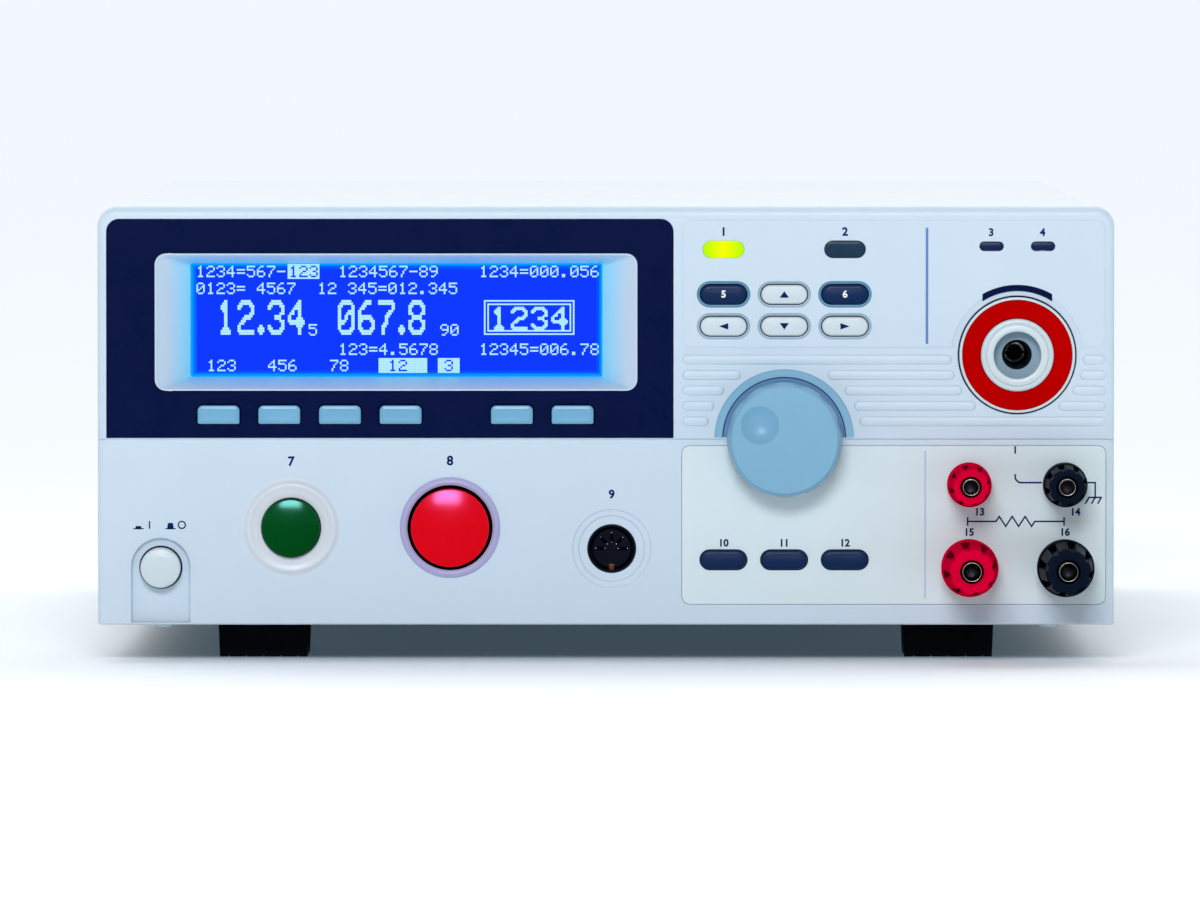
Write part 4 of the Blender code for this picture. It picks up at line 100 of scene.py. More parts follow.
# Controls
UPPER_KEYS = ("left_key", "down_key", "right_key", "up_key", "esc_key", "page_key")
NAVY_KEYS = ("esc_key", "page_key")
LOWER_KEYS = ("mode_key", "edit_key", "utility_key")
SOFT_KEYS = tuple(f"soft_key_{i}" for i in range(1, 7))
KEY_WIDTH, KEY_HEIGHT, KEY_FLANGE = 14.9, 6.1, 1.0
KEY_GAP, DISH_GROW, DISH_DEPTH = 0.35, 1.3, 0.55
SOFT_WIDTH, SOFT_HEIGHT, SOFT_CORNERS = 13.6, 6.0, (0.7, 1.7, 1.7, 0.7)
DIAL, DIAL_RADIUS, DIAL_FACE = middle("dial"), 18.6, 17.1
DIAL_SCOOPS, SCOOP_REACH, SCOOP_RADIUS, SCOOP_TURN = 12, 22.6, 4.8, 15
DIMPLE_X, DIMPLE_Z, DIMPLE_RADIUS, DIMPLE_DEPTH = -8.0, 4.9, 6.2, 2.6
WELL_RIM, WELL_INNER, WELL_SILL, WELL_GROOVE = 22.7, 20.1, 0.5, 0.3
HV, HV_RADIUS, COLLAR = middle("hv_ring"), 18.8, 21.1
START, START_RADIUS, START_BORE, START_SEAT = middle("start_button"), 9.4, 9.7, 13.5
STOP, STOP_RADIUS, STOP_BORE, STOP_SEAT = middle("stop_button"), 12.7, 13.8, 15.0
REMOTE, REMOTE_RADIUS = middle("remote_socket"), 7.7
POWER, POWER_RADIUS = middle("power_button"), 6.5
NICHE_MARGIN, NICHE_DEPTH = 3.0, 2.2

# High-voltage terminal: radii of its mouth, neck, bore and leaves, and the red ring's edges
HV_MOUTH, HV_NECK, HV_BORE, HV_LEAF = 7.67, 4.8, 3.9, (2.1, 2.5, 3.2, 3.6)
HV_RING_INNER, HV_RING_OUTER = 11.95, 17.95
HV_MARK_OUTER, HV_MARK_INNER, HV_MARK_HALF = 22.75, 20.75, 11.3

# Binding posts: nose, shoulder, flange, bore, and the scoops' reach and radius
POST_SIZES = {
    "source": (7.3, 8.8, 9.3, 3.85, 7.9, 1.3),
    "sense": (5.9, 6.7, 7.15, 3.45, 6.4, 1.05),
}
POST_PHASES = {"source_h": 11, "source_l": 34, "sense_h": 14, "sense_l": 14}
POST_FLANGE, POST_SCOOPS = 2.6, 8

# Remote socket: its well and shell, and the circle of its contacts
REMOTE_WELL, REMOTE_WALL, REMOTE_INNER = 7.9, 7.1, 6.2
REMOTE_CONTACTS, REMOTE_CIRCLE, REMOTE_SLOT = 5, 3.6, 1.5

# Screws and rear connectors
BEZEL_SCREW_X, COVER_SCREW_Y, COVER_SCREW_Z = 144, (-205, 20, 250), 26
REAR_SCREW_X, REAR_SCREW_Z = 151, (24, 80, 138)
PORT_RISE, PORT_PLACES, PORT_JACK, PIN_PITCH = 20.2, (18.45, 51.35), 12.5, 2.77

FILM_CORNER = 2.6
INK_LIFT = 0.04
WELD, SHARP_ANGLE = 0.0005, 38
CASE = "case"


# Outlines


def arc(cx, cz, radius, start, end, steps):
    """Points along an arc, angles in degrees."""
    angles = [math.radians(start + (end - start) * i / steps) for i in range(steps + 1)]
    return [(cx + radius * math.cos(a), cz + radius * math.sin(a)) for a in angles]


def circle(cx, cz, radius, steps=72):
    return arc(cx, cz, radius, 0, 360, steps)[:-1]


def disc(cx, cz, radius):
    return lambda grow=0: circle(cx, cz, radius + grow)


def oval(cx, cz, width, height, steps=16):
    reach = (width - height) / 2

    def outline(grow=0):
        half = height / 2 + grow
        return arc(cx + reach, cz, half, -90, 90, steps) + arc(cx - reach, cz, half, 90, 270, steps)

    return outline


def rect(left, bottom, right, top, corners):
    """A rectangle with a radius for each corner, from the bottom right round to the bottom left."""
    radii = corners if isinstance(corners, tuple) else (corners,) * 4
    places = ((right, bottom, -1, 1), (right, top, -1, -1), (left, top, 1, -1), (left, bottom, 1, 1))

    def outline(grow=0):
        points = []
        for turn, ((x, z, sx, sz), corner) in enumerate(zip(places, radii)):
            radius = max(corner + grow, 0.05)
            cx, cz = x + sx * (radius - grow), z + sz * (radius - grow)
            points += arc(cx, cz, radius, 270 + 90 * turn, 360 + 90 * turn, 8)
        return points

    return outline


def rect_of(name, corners):
    low, high = span(name)
    return rect(low.x, low.z, high.x, high.z, corners)


def grown(shape, more):
    return lambda grow=0: shape(grow + more)


def soften(points, steps=5):
    """Rounds the corners of a profile's rows."""
    rows = []
    for i, (a, y, *radius) in enumerate(points):
        if not radius or i in (0, len(points) - 1):
            rows.append((a, y))
            continue
        here = Vector((a, y))
        before = (Vector(points[i - 1][:2]) - here).normalized()
        after = (Vector(points[i + 1][:2]) - here).normalized()
        half = before.angle(after) / 2
        centre = here + (before + after).normalized() * (radius[0] / math.sin(half))
        first = here + before * (radius[0] / math.tan(half)) - centre
        last = here + after * (radius[0] / math.tan(half)) - centre
        sweep = first.angle_signed(last)
        for k in range(steps + 1):
            rows.append(tuple(centre + Matrix.Rotation(-sweep * k / steps, 2) @ first))
    return rows


# Mesh building


def vert(bm, x, y, z):
    return bm.verts.new((x * MM, y * MM, z * MM))


def ring(bm, points, y):
    return [vert(bm, x, y, z) for x, z in points]


def polygon(bm, points, y):
    return bm.faces.new(ring(bm, points, y))


def facet(bm, corners):
    return bm.faces.new([vert(bm, *corner) for corner in corners])


def bridge(bm, rings, closed=True):
    for inner, outer in zip(rings, rings[1:]):
        for i in range(len(inner) if closed else len(inner) - 1):
            j = (i + 1) % len(inner)
            bm.faces.new(list(dict.fromkeys((outer[i], outer[j], inner[j], inner[i]))))


def loft(bm, shape, rows, cap=False, closed=True):
    bridge(bm, [ring(bm, shape(grow), y) for grow, y in rows], closed)
    if cap:
        flat(bm, shape(rows[0][0]), [], rows[0][1])


def turn(bm, place, rows, steps=72, limit=None):
    """A turned form about a line along Y through a place. A limit holds the radius in at some angles."""
    rings = []
    for radius, y in rows:
        if radius < 1e-6:
            rings.append([vert(bm, place[0], y, place[2])] * steps)
            continue
        points = []
        for i in range(steps):
            angle = 2 * math.pi * i / steps
            r = min(radius, limit(angle, y)) if limit else radius
            points.append((place[0] + r * math.cos(angle), place[2] + r * math.sin(angle)))
        rings.append(ring(bm, points, y))
    bridge(bm, rings)


def scoops(count, reach, radius, phase, front, back):
    """Round hollows along a turned form, between two depths: how far out it goes at an angle."""

    def limit(angle, y):
        if not front <= y <= back:
            return math.inf
        pitch = 2 * math.pi / count
        off = (angle - math.radians(phase) + pitch / 2) % pitch - pitch / 2
        inside = radius**2 - (reach * math.sin(off)) ** 2
        return reach * math.cos(off) - math.sqrt(inside) if inside > 0 else math.inf

    return limit


def flat(bm, outer, holes, y):
    """A flat face with holes, seen from the front."""
    loops = [[Vector((x, z, 0)) for x, z in loop] for loop in [outer, *holes]]
    points = [p for loop in loops for p in loop]
    verts = [vert(bm, p.x, y, p.y) for p in points]
    for corners in tessellate_polygon(loops):
        a, b, c = (points[i] for i in corners)
        area = (b - a).cross(c - a).z
        if abs(area) > 1e-7:
            bm.faces.new([verts[i] for i in (corners if area > 0 else corners[::-1])])


def hole(bm, shape, y, depth, soft=0.25):
    """Adds a hole's wall with a rounded lip, and gives the outline that the face leaves free for it."""
    loft(bm, shape, soften([(0, y + depth), (0, y, soft), (2 * soft, y)]))
    return shape(2 * soft)


def block(bm, low, high, soft=0.3, segments=2):
    """A box with its edges rounded."""
    made = bmesh.ops.create_cube(bm, size=1)["verts"]
    for v in made:
        v.co = [(a + (c + 0.5) * (b - a)) * MM for a, b, c in zip(low, high, v.co)]
    edges = list({e for v in made for e in v.link_edges})
    bmesh.ops.bevel(bm, geom=edges, offset=soft * MM, segments=segments, profile=0.5, affect="EDGES")


def stroke(bm, points, width, y):
    """A printed line of even width through (x, z) points, with mitred bends."""
    left, right = [], []
    for i, point in enumerate(points):
        here = Vector(point)
        into = (here - Vector(points[i - 1])).normalized() if i else None
        out = (Vector(points[i + 1]) - here).normalized() if i < len(points) - 1 else None
        way = (into + out).normalized() if into and out else (into or out)
        side = Vector((-way.y, way.x))
        half = width / 2
        if into and out:
            half /= max(0.35, side.dot(Vector((-into.y, into.x))))
        left.append(vert(bm, here.x + side.x * half, y, here.y + side.y * half))
        right.append(vert(bm, here.x - side.x * half, y, here.y - side.y * half))
    for a, b, c, d in zip(left, right, right[1:], left[1:]):
        bm.faces.new((a, b, c, d))


def put(name, data):
    item = bpy.data.objects.new(name, data)
    bpy.context.scene.collection.objects.link(item)
    return item


def settle(name, bm):
    """The finished mesh of a mesh under construction."""
    mesh = bpy.data.meshes.new(name)
    bm.to_mesh(mesh)
    bm.free()
    return mesh


def piece(name, bm, look, body=CASE, replaces=()):
    """A finished object from a mesh under construction, riding on a body."""
    bmesh.ops.remove_doubles(bm, verts=bm.verts, dist=WELD * MM)
    mesh = settle(name, bm)
    mesh.shade_smooth()
    mesh.set_sharp_from_angle(angle=math.radians(SHARP_ANGLE))
    mesh.materials.append(LOOKS[look])
    item = put(name, mesh)
    weigh(item)
    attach(item, body)
    if replaces:
        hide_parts(*replaces)


def turned(name, place, rows, look, body=CASE, replaces=(), steps=96, limit=None):
    bm = bmesh.new()
    turn(bm, place, soften(rows), steps, limit)
    return piece(name, bm, look, body, replaces)


def weigh(item):
    """Lets the large faces set the shading, so that flat stays flat up to a rounded edge."""
    change = item.modifiers.new("Weighted", "WEIGHTED_NORMAL")
    change.keep_sharp = True
    change.weight = 90


# Finishes

LOOKS = {}

# Name, colour, roughness, mottling, scale and depth (mm) of the grain, spread of the roughness, metal
FINISHES = (
    ("frame_plastic", (0.575, 0.695, 0.785), 0.42, 0.012, 1500, 0.012, 0.05),
    ("painted_steel", (0.60, 0.67, 0.70), 0.46, 0.012, 900, 0.02, 0.05),
    ("navy_plastic", (0.0012, 0.006, 0.047), 0.30, 0.06, 1800, 0.004),
    ("navy_key", (0.003, 0.022, 0.084), 0.30, 0.05, 1800, 0.004),
    ("label_film", (0.66, 0.78, 0.80), 0.38, 0.012, 2200, 0.006),
    ("white_plastic", (0.60, 0.70, 0.73), 0.34, 0.01, 1600, 0.006),
    ("ring_white", (0.66, 0.72, 0.77), 0.36, 0.01, 1600, 0.006),
    ("ring_lilac", (0.42, 0.41, 0.66), 0.30, 0.01, 1600, 0.004, 0.03),
    ("pale_blue_plastic", (0.19, 0.42, 0.59), 0.38, 0.02, 1500, 0.012),
    ("soft_key_blue", (0.15, 0.40, 0.60), 0.35, 0.02, 1500, 0.008),
    # Mid blue: painted shade in the navy keys' dishes with a painted reflection of the keys; also the ink of
    # the funnel's ticks
    ("dish_blue", (0.14, 0.35, 0.53), 0.45, 0.02, 1500, 0.012),
    # Darker blues of the dial's well band and of the floor round the knob: painted shade
    ("well_band", (0.25, 0.50, 0.68), 0.45, 0.02, 1500, 0.012),
    ("well_blue", (0.09, 0.24, 0.48), 0.45, 0.02, 1500, 0.012),
    # Paler blue: painted shade in the white keys' dishes
    ("dish_pale", (0.38, 0.52, 0.62), 0.45, 0.02, 1500, 0.012),
    ("red_plastic", (0.76, 0.0, 0.002), 0.17, 0.05, 900, 0.003, 0.02),
    ("ring_red", (0.46, 0.0, 0.0), 0.42, 0.04, 1500, 0.005),
    ("post_red", (0.66, 0.0, 0.032), 0.40, 0.06, 700, 0.01),
    ("green_plastic", (0.0, 0.066, 0.008), 0.14, 0.08, 900, 0.003, 0.02),
    ("black_plastic", (0.002, 0.004, 0.012), 0.34, 0.1, 1200, 0.012, 0.05),
    ("post_black", (0.003, 0.007, 0.017), 0.50, 0.1, 700, 0.008),
    # Dark red for the notch bottoms of the red caps: painted shade
    ("post_shade", (0.13, 0.0, 0.012), 0.60, 0.1, 900, 0.002),
    # Near black for the terminal's deep bore: painted shade
    ("bore_black", (0.006, 0.010, 0.016), 0.25, 0.1, 900, 0.004),
    ("rubber", (0.003, 0.005, 0.009), 0.60, 0.1, 800, 0.03, 0.08),
    ("lamp_dark", (0.012, 0.038, 0.074), 0.25, 0.04, 1600, 0.003, 0.03),
    ("status_dark", (0.007, 0.018, 0.075), 0.25, 0.04, 1600, 0.003, 0.03),
    ("plated_brass", (0.85, 0.81, 0.78), 0.34, 0.05, 1200, 0.004, 0.06, 1),
    # Dark metal for the studs' inner cone and bore: painted shade
    ("dark_metal", (0.10, 0.10, 0.12), 0.24, 0.05, 1200, 0.004, 0.06, 1),
    ("zinc_steel", (0.62, 0.64, 0.66), 0.34, 0.05, 700, 0.008, 0.08, 1),
    ("keyway_copper", (0.16, 0.06, 0.03), 0.40, 0.05, 900, 0.005, 0.06, 1),
    # Grey-blue for the floor of the terminal's mouth: painted shade on the white insulator
    ("recess_grey", (0.24, 0.36, 0.44), 0.40, 0.03, 1500, 0.005),
    ("port_blue", (0.01, 0.03, 0.12), 0.40, 0.05, 900, 0.01, 0.05),
    ("aluminium", (0.70, 0.70, 0.72), 0.36, 0.04, 600, 0.02, 0.08, 1),
    ("transformer_steel", (0.18, 0.17, 0.16), 0.60, 0.1, 400, 0.05, 0.08, 1),
    ("potting", (0.03, 0.03, 0.035), 0.50, 0.1, 300, 0.05, 0.05),
    ("ink_navy", (0.003, 0.020, 0.11), 0.45, 0.05, 900, 0.002),
    ("ink_blue", (0.08, 0.22, 0.48), 0.45, 0.03, 900, 0.002),
    # Faint blue for the fine groove of the lower divider: painted shade
    ("ink_faint", (0.42, 0.56, 0.68), 0.45, 0.03, 900, 0.002),
    ("ink_white", (0.80, 0.86, 0.92), 0.45, 0.02, 900, 0.002),
    # Near black for gaps, slots, bores and holes: painted shade where only shade falls
    ("void", (0.001, 0.001, 0.002), 0.90, 0.1, 900, 0.002),
    ("floor", (0.93, 0.94, 0.94), 0.60, 0.004, 60, 0.0, 0.02),
)

# Gloss that differs from plain plastic's 0.5, and tinted highlights
GLOSS = {
    "floor": 0.0,
    "navy_plastic": 0.05,
    "navy_key": 0.2,
    "rubber": 0.1,
    "void": 0.0,
    "ring_red": 0.0,
    "red_plastic": 0.7,
    "post_red": 0.0,
    "post_shade": 0.0,
    "post_black": 0.02,
    "ink_navy": 0.0,
    "black_plastic": 0.08,
    "lamp_dark": 0.2,
    "status_dark": 0.2,
}
TINTS = {"red_plastic": (1.0, 0.25, 0.75, 1), "green_plastic": (0.30, 1.0, 0.92, 1)}
LIT_GLOSS = 0.03
# A faint teal glow of the floor: painted light that lifts the shadow under the case
FLOOR_GLOW, FLOOR_GLOW_STRENGTH = (0.50, 0.80, 1.0, 1), 0.085


def node(tree, kind, **values):
    made = tree.nodes.new(kind)
    for key, value in values.items():
        if key.replace("_", " ") in made.inputs:
            made.inputs[key.replace("_", " ")].default_value = value
        else:
            setattr(made, key, value)
    return made


def place_in(tree):
    return node(tree, "ShaderNodeTexCoord").outputs["Object"]


def noise(tree, scale, detail=4.0):
    made = node(tree, "ShaderNodeTexNoise", Scale=scale, Detail=detail, Roughness=0.6)
    tree.links.new(place_in(tree), made.inputs["Vector"])
    return made.outputs["Fac"]


def maths(tree, operation, *values):
    made = node(tree, "ShaderNodeMath", operation=operation)
    for socket, value in zip(made.inputs, values):
        if isinstance(value, (int, float)):
            socket.default_value = value
        else:
            tree.links.new(value, socket)
    return made.outputs[0]


def spread(tree, value, low, high, bottom=0.0, top=1.0):
    made = node(tree, "ShaderNodeMapRange", From_Min=low, From_Max=high, To_Min=bottom, To_Max=top)
    tree.links.new(value, made.inputs["Value"])
    return made.outputs["Result"]


def graded(tree, share, stops):
    """Colours along a value from 0 to 1."""
    ramp = node(tree, "ShaderNodeValToRGB")
    while len(ramp.color_ramp.elements) < len(stops):
        ramp.color_ramp.elements.new(0.5)
    for element, (position, colour) in zip(ramp.color_ramp.elements, stops):
        element.position = position
        element.color = (*colour, 1)
    tree.links.new(share, ramp.inputs["Fac"])
    return ramp.outputs["Color"]


def finish(name, colour, roughness, mottle, grain, depth, shift=0.04, metal=0):
    """A surface finish: mottled colour, uneven gloss and a fine grain."""
    made = bpy.data.materials.new(f"look_{name}")
    made.use_nodes = True
    tree = made.node_tree
    bsdf = tree.nodes["Principled BSDF"]
    bsdf.inputs["Metallic"].default_value = metal
    bsdf.inputs["Specular IOR Level"].default_value = GLOSS.get(name, 0.5)
    bsdf.inputs["Specular Tint"].default_value = TINTS.get(name, (1, 1, 1, 1))
    low, high = [c * (1 - mottle) for c in colour], [min(c * (1 + mottle), 1) for c in colour]
    tint = graded(tree, noise(tree, 35.0, 6.0), [(0.35, low), (0.65, high)])
    tree.links.new(tint, bsdf.inputs["Base Color"])
    gloss = spread(tree, noise(tree, 120.0), 0.3, 0.7, roughness - shift, roughness + shift)
    tree.links.new(gloss, bsdf.inputs["Roughness"])
    if depth:
        bump = node(tree, "ShaderNodeBump", Strength=1.0, Distance=depth * MM)
        tree.links.new(noise(tree, grain, 3.0), bump.inputs["Height"])
        tree.links.new(bump.outputs["Normal"], bsdf.inputs["Normal"])
    LOOKS[name] = made
    return tree, bsdf


def coordinates(tree):
    """The surface's X, Y and Z in millimetres."""
    parts = node(tree, "ShaderNodeSeparateXYZ")
    tree.links.new(place_in(tree), parts.inputs[0])
    return [maths(tree, "DIVIDE", part, MM) for part in parts.outputs]


def lit(name, base, strength, share, stops):
    """A lit surface whose colour runs along a share that is worked out from its place."""
    tree, bsdf = finish(name, base, 0.3, 0.02, 1500, 0.002, 0.02)
    bsdf.inputs["Emission Strength"].default_value = strength
    bsdf.inputs["Specular IOR Level"].default_value = LIT_GLOSS
    tree.links.new(graded(tree, share(tree), stops), bsdf.inputs["Emission Color"])


def screen_margins(tree):
    """How far inside the screen a place lies, across and upright, in millimetres."""
    x, _, z = coordinates(tree)
    margins = []
    for place, low, high in zip((x, z), SCREEN_LOW, SCREEN_HIGH):
        sides = [maths(tree, "SUBTRACT", place, low), maths(tree, "SUBTRACT", high, place)]
        margins.append(maths(tree, "MINIMUM", *sides))
    return margins


def from_screen_edge(tree):
    return spread(tree, maths(tree, "MINIMUM", *screen_margins(tree)), 0, 3.0)


def from_screen(tree):
    """How far out on the funnel a place lies, from the screen's edge; it spreads the funnel's painted glow.
    """
    slopes = (-FUNNEL_SIDE, -FUNNEL_BELOW)
    outs = [maths(tree, "DIVIDE", margin, slope) for margin, slope in zip(screen_margins(tree), slopes)]
    return spread(tree, maths(tree, "MAXIMUM", *outs), 0.0, 0.7)


def from_lamp_middle(tree):
    low, high = span("pass_lamp")
    off = maths(tree, "ABSOLUTE", maths(tree, "SUBTRACT", coordinates(tree)[0], (low.x + high.x) / 2))
    return spread(tree, off, 0, (high.x - low.x) / 2)


def port_finish():
    """The rear board: green, with bare metal on the connector shells that stand out of the panel."""
    board, shell = (0.02, 0.20, 0.09), (0.6, 0.62, 0.64)
    tree, bsdf = finish("circuit_board", board, 0.40, 0.15, 500, 0.02, 0.05)
    outside = maths(tree, "GREATER_THAN", coordinates(tree)[1], REAR - 14)
    tree.links.new(outside, bsdf.inputs["Metallic"])
    tree.links.new(graded(tree, outside, [(0.0, board), (1.0, shell)]), bsdf.inputs["Base Color"])


def make_looks():
    for row in FINISHES:
        finish(*row)
    # The floor's faint teal glow: painted light in the shadow under the case
    floor = LOOKS["floor"].node_tree.nodes["Principled BSDF"].inputs
    floor["Emission Color"].default_value = FLOOR_GLOW
    floor["Emission Strength"].default_value = FLOOR_GLOW_STRENGTH
    port_finish()
    glass = (0, 0.004, 0.04)
    deep, mid, azure = (0.003, 0.036, 1.0), (0.0, 0.10, 1.0), (0.0, 0.45, 1.0)
    lit("screen_blue", glass, 1.0, from_screen_edge, [(0.0, azure), (0.4, mid), (0.75, deep)])
    glow = [(0.0, (0, 0.42, 1.0)), (0.5, (0, 0.12, 1.0))]
    lit("screen_glow", glass, 1.0, from_screen_edge, glow)
    pale = [(0.0, (0.42, 0.88, 1.0)), (1.0, (0.50, 0.92, 1.0))]
    lit("screen_text", (0, 0, 0), 1.0, from_screen_edge, pale)
    # The funnel's colour turns azure towards the screen: painted glow of the screen's light on the plastic
    tree, bsdf = finish("funnel_plastic_painted_glow", (0.56, 0.68, 0.79), 0.42, 0.012, 1500, 0.012, 0.05)
    near, far = (0.22, 0.70, 0.92), (0.56, 0.69, 0.79)
    tree.links.new(graded(tree, from_screen(tree), [(0.0, near), (1.0, far)]), bsdf.inputs["Base Color"])
    yellow, lime, green = (0.85, 1.0, 0.0), (0.62, 1.0, 0.0), (0.30, 0.88, 0.0)
    lit("lamp_green", (0.1, 0.3, 0), 1.0, from_lamp_middle, [(0.0, yellow), (0.4, lime), (0.95, green)])


# Outlines of the controls


def key_shape(name):
    place = middle(name)
    return oval(place.x, place.z, KEY_WIDTH, KEY_HEIGHT)


def soft_shape(name):
    place = middle(name)
    x, z, w, h = place.x, place.z, SOFT_WIDTH / 2, SOFT_HEIGHT / 2
    return rect(x - w, z - h, x + w, z + h, SOFT_CORNERS)


def lamp_shapes():
    """The two result lamps and the two small status windows."""
    shapes = []
    for name in ("pass_lamp", "fail_lamp"):
        low, high = span(name)
        shapes.append(oval(middle(name).x, middle(name).z, high.x - low.x - 2, high.z - low.z - 2))
    low, high = span("status_lens")
    width, height = 7.6, high.z - low.z - 2
    ends = (low.x + KEY_FLANGE + width / 2, high.x - KEY_FLANGE - width / 2)
    return shapes + [oval(x, (low.z + high.z) / 2, width, height) for x in ends]


def legend_outline(grow=0):
    """The proud legend field's outline, with a round bite for the high-voltage collar."""
    radius = COLLAR - grow
    bottom = LEGEND_BOTTOM - grow
    reach = math.degrees(math.asin((bottom - HV.z) / radius))
    field = rect(FILM_LOW.x, LEGEND_BOTTOM, FILM_HIGH.x, PANEL_HIGH.z, LEGEND_CORNER)
    return field(grow) + arc(HV.x, HV.z, radius, 180 - reach, reach, 48)


def panel_arch(grow=0):
    """The display panel's recess, open at the seam, from its right foot round to its left foot."""
    low, high, radius = PANEL_LOW, PANEL_HIGH, PANEL_CORNER + PANEL_GAP
    whole = rect(low.x - PANEL_GAP, SEAM - 5, high.x + PANEL_GAP, high.z + PANEL_GAP, radius)(grow)
    top = whole[9:27]
    foot = SEAM + SEAM_ROUND
    return [(top[0][0], foot), *top, (top[-1][0], foot)]


def well_outline(grow=0):
    """The half-round dish over the dial, closed by its sill."""
    radius = WELL_RIM + grow
    low = math.degrees(math.asin((SEAM + WELL_SILL - DIAL.z) / radius))
    return arc(DIAL.x, DIAL.z, radius, low, 180 - low, 48)


def niche_outline(grow=0):
    """The arch round the power button, open at the bezel's foot."""
    points = arc(POWER.x, POWER.z, POWER_RADIUS + NICHE_MARGIN + grow, 0, 180, 32)
    foot = BOTTOM + FOOT_ROUND
    return [(points[0][0], foot), *points, (points[-1][0], foot)]


def funnel_shapes():
    outer = rect(
        SCREEN_LOW[0] - FUNNEL_SIDE,
        SCREEN_LOW[1] - FUNNEL_BELOW,
        SCREEN_HIGH[0] + FUNNEL_SIDE,
        SCREEN_HIGH[1] + FUNNEL_ABOVE,
        FUNNEL_CORNER,
    )
    return outer, rect(*SCREEN_LOW, *SCREEN_HIGH, LCD_CORNER)


# Bezel


def rim_chain(upper):
    """The bezel's outer edge as (x, z, normal x, normal z, edge radius), for the upper or the lower half."""
    steps = 12
    corner, level, radius = (CORNER, TOP, TOP_ROUND) if upper else (FOOT_CORNER, BOTTOM, FOOT_ROUND)
    sign = 1 if upper else -1
    chain = [(RIGHT, SEAM, 1, 0, SIDE_ROUND)]
    for side, edge in ((1, RIGHT), (-1, LEFT)):
        cx, cz = edge - side * corner, level - sign * corner
        for i in range(steps + 1):
            share = i / steps if side > 0 else 1 - i / steps
            nx, nz = side * math.cos(share * math.pi / 2), sign * math.sin(share * math.pi / 2)
            edge_radius = SIDE_ROUND + (radius - SIDE_ROUND) * share
            chain.append((cx + corner * nx, cz + corner * nz, nx, nz, edge_radius))
    chain.append((LEFT, SEAM, -1, 0, SIDE_ROUND))
    return chain if upper else chain[::-1]


def rim(bm, chain, face_y):
    """The rounded outer edge and the wall behind it, back to the lip that meets the cover."""
    steps = 8
    rows = []
    for k in range(steps + 1):
        angle = math.pi / 2 * k / steps
        rows.append([(r * (1 - math.sin(angle)), face_y + r * (1 - math.cos(angle))) for *_, r in chain])
    soft = BACK_ROUND
    back = [(0, BEZEL_BACK - soft), (0.3 * soft, BEZEL_BACK - 0.3 * soft), (soft, BEZEL_BACK)]
    back += [(BACK_LIP, BEZEL_BACK), (BACK_LIP, BEZEL_BACK - BACK_LIP)]
    rows += [[row] * len(chain) for row in back]
    rings = []
    for row in rows:
        points = [(x - nx * inset, y, z - nz * inset) for (x, z, nx, nz, _), (inset, y) in zip(chain, row)]
        rings.append([vert(bm, *p) for p in points])
    bridge(bm, rings, closed=False)
    return [(x - nx * r, z - nz * r) for x, z, nx, nz, r in chain]


def rib_spans(z):
    """The stretches of one rib, broken round the dial and the terminal."""
    spans, start = [], FILM_LOW.x
    for place, keepout in ((DIAL, WELL_RIM + 2.4), (HV, COLLAR + 0.2)):
        away = abs(z - place.z)
        if away < keepout:
            reach = math.sqrt(keepout**2 - away**2)
            if reach > RIB_HEIGHT:
                spans.append((start, place.x - reach))
                start = place.x + reach
    return [*spans, (start, FILM_HIGH.x)]


def ribs(bm):
    """Raised bars with softly crowned faces."""
    outlines = []
    crest = UPPER_Y - RIB_PROUD
    rows = soften([(-1.55, crest - 0.06), (-0.8, crest, 0.6), (-0.25, crest + 0.16, 0.3), (0, UPPER_Y)], 3)
    for row in range(RIB_ROWS):
        z = SEAM + RIB_RISE + row * RIB_STEP
        for start, end in rib_spans(z):
            shape = oval((start + end) / 2, z, end - start, RIB_HEIGHT)
            loft(bm, shape, rows, cap=True)
            outlines.append(shape())
    return outlines


def upper_face(bm):
    """The proud upper half: its face, the legend field on it, and every hole and lip."""
    outer = rim(bm, rim_chain(True), UPPER_Y)
    edge = SEAM + SEAM_ROUND
    outer[0], outer[-1] = (outer[0][0], edge), (outer[-1][0], edge)
    loft(bm, panel_arch, soften([(0, UPPER_Y + 1.3), (0, UPPER_Y, 0.2), (0.4, UPPER_Y)]), closed=False)
    outer += panel_arch(0.4)[::-1]
    holes = ribs(bm) + [well_outline(), legend_outline()]
    holes.append(hole(bm, disc(HV.x, HV.z, HV_RADIUS + 0.45), UPPER_Y, 3))
    flat(bm, outer, holes, UPPER_Y)
    legend_field(bm)
    left, right = LEFT + SIDE_ROUND, RIGHT - SIDE_ROUND
    rows = soften([(SEAM + 2, UPPER_Y), (SEAM, UPPER_Y, SEAM_ROUND), (SEAM, LOWER_Y + 0.4)])[1:]
    edges = [(vert(bm, left, y, z), vert(bm, right, y, z)) for z, y in rows]
    for a, b in zip(edges, edges[1:]):
        bm.faces.new((a[0], b[0], b[1], a[1]))


def legend_field(bm):
    rows = soften([(-2 * LEGEND_EDGE, LEGEND_Y), (-LEGEND_EDGE, LEGEND_Y, 0.4), (0, UPPER_Y)])
    loft(bm, legend_outline, rows)
    holes = [key_shape(name)(DISH_GROW) for name in UPPER_KEYS]
    for shape in lamp_shapes():
        holes.append(hole(bm, grown(shape, 0.12), LEGEND_Y, 2, 0.3))
    flat(bm, legend_outline(-2 * LEGEND_EDGE), holes, LEGEND_Y)


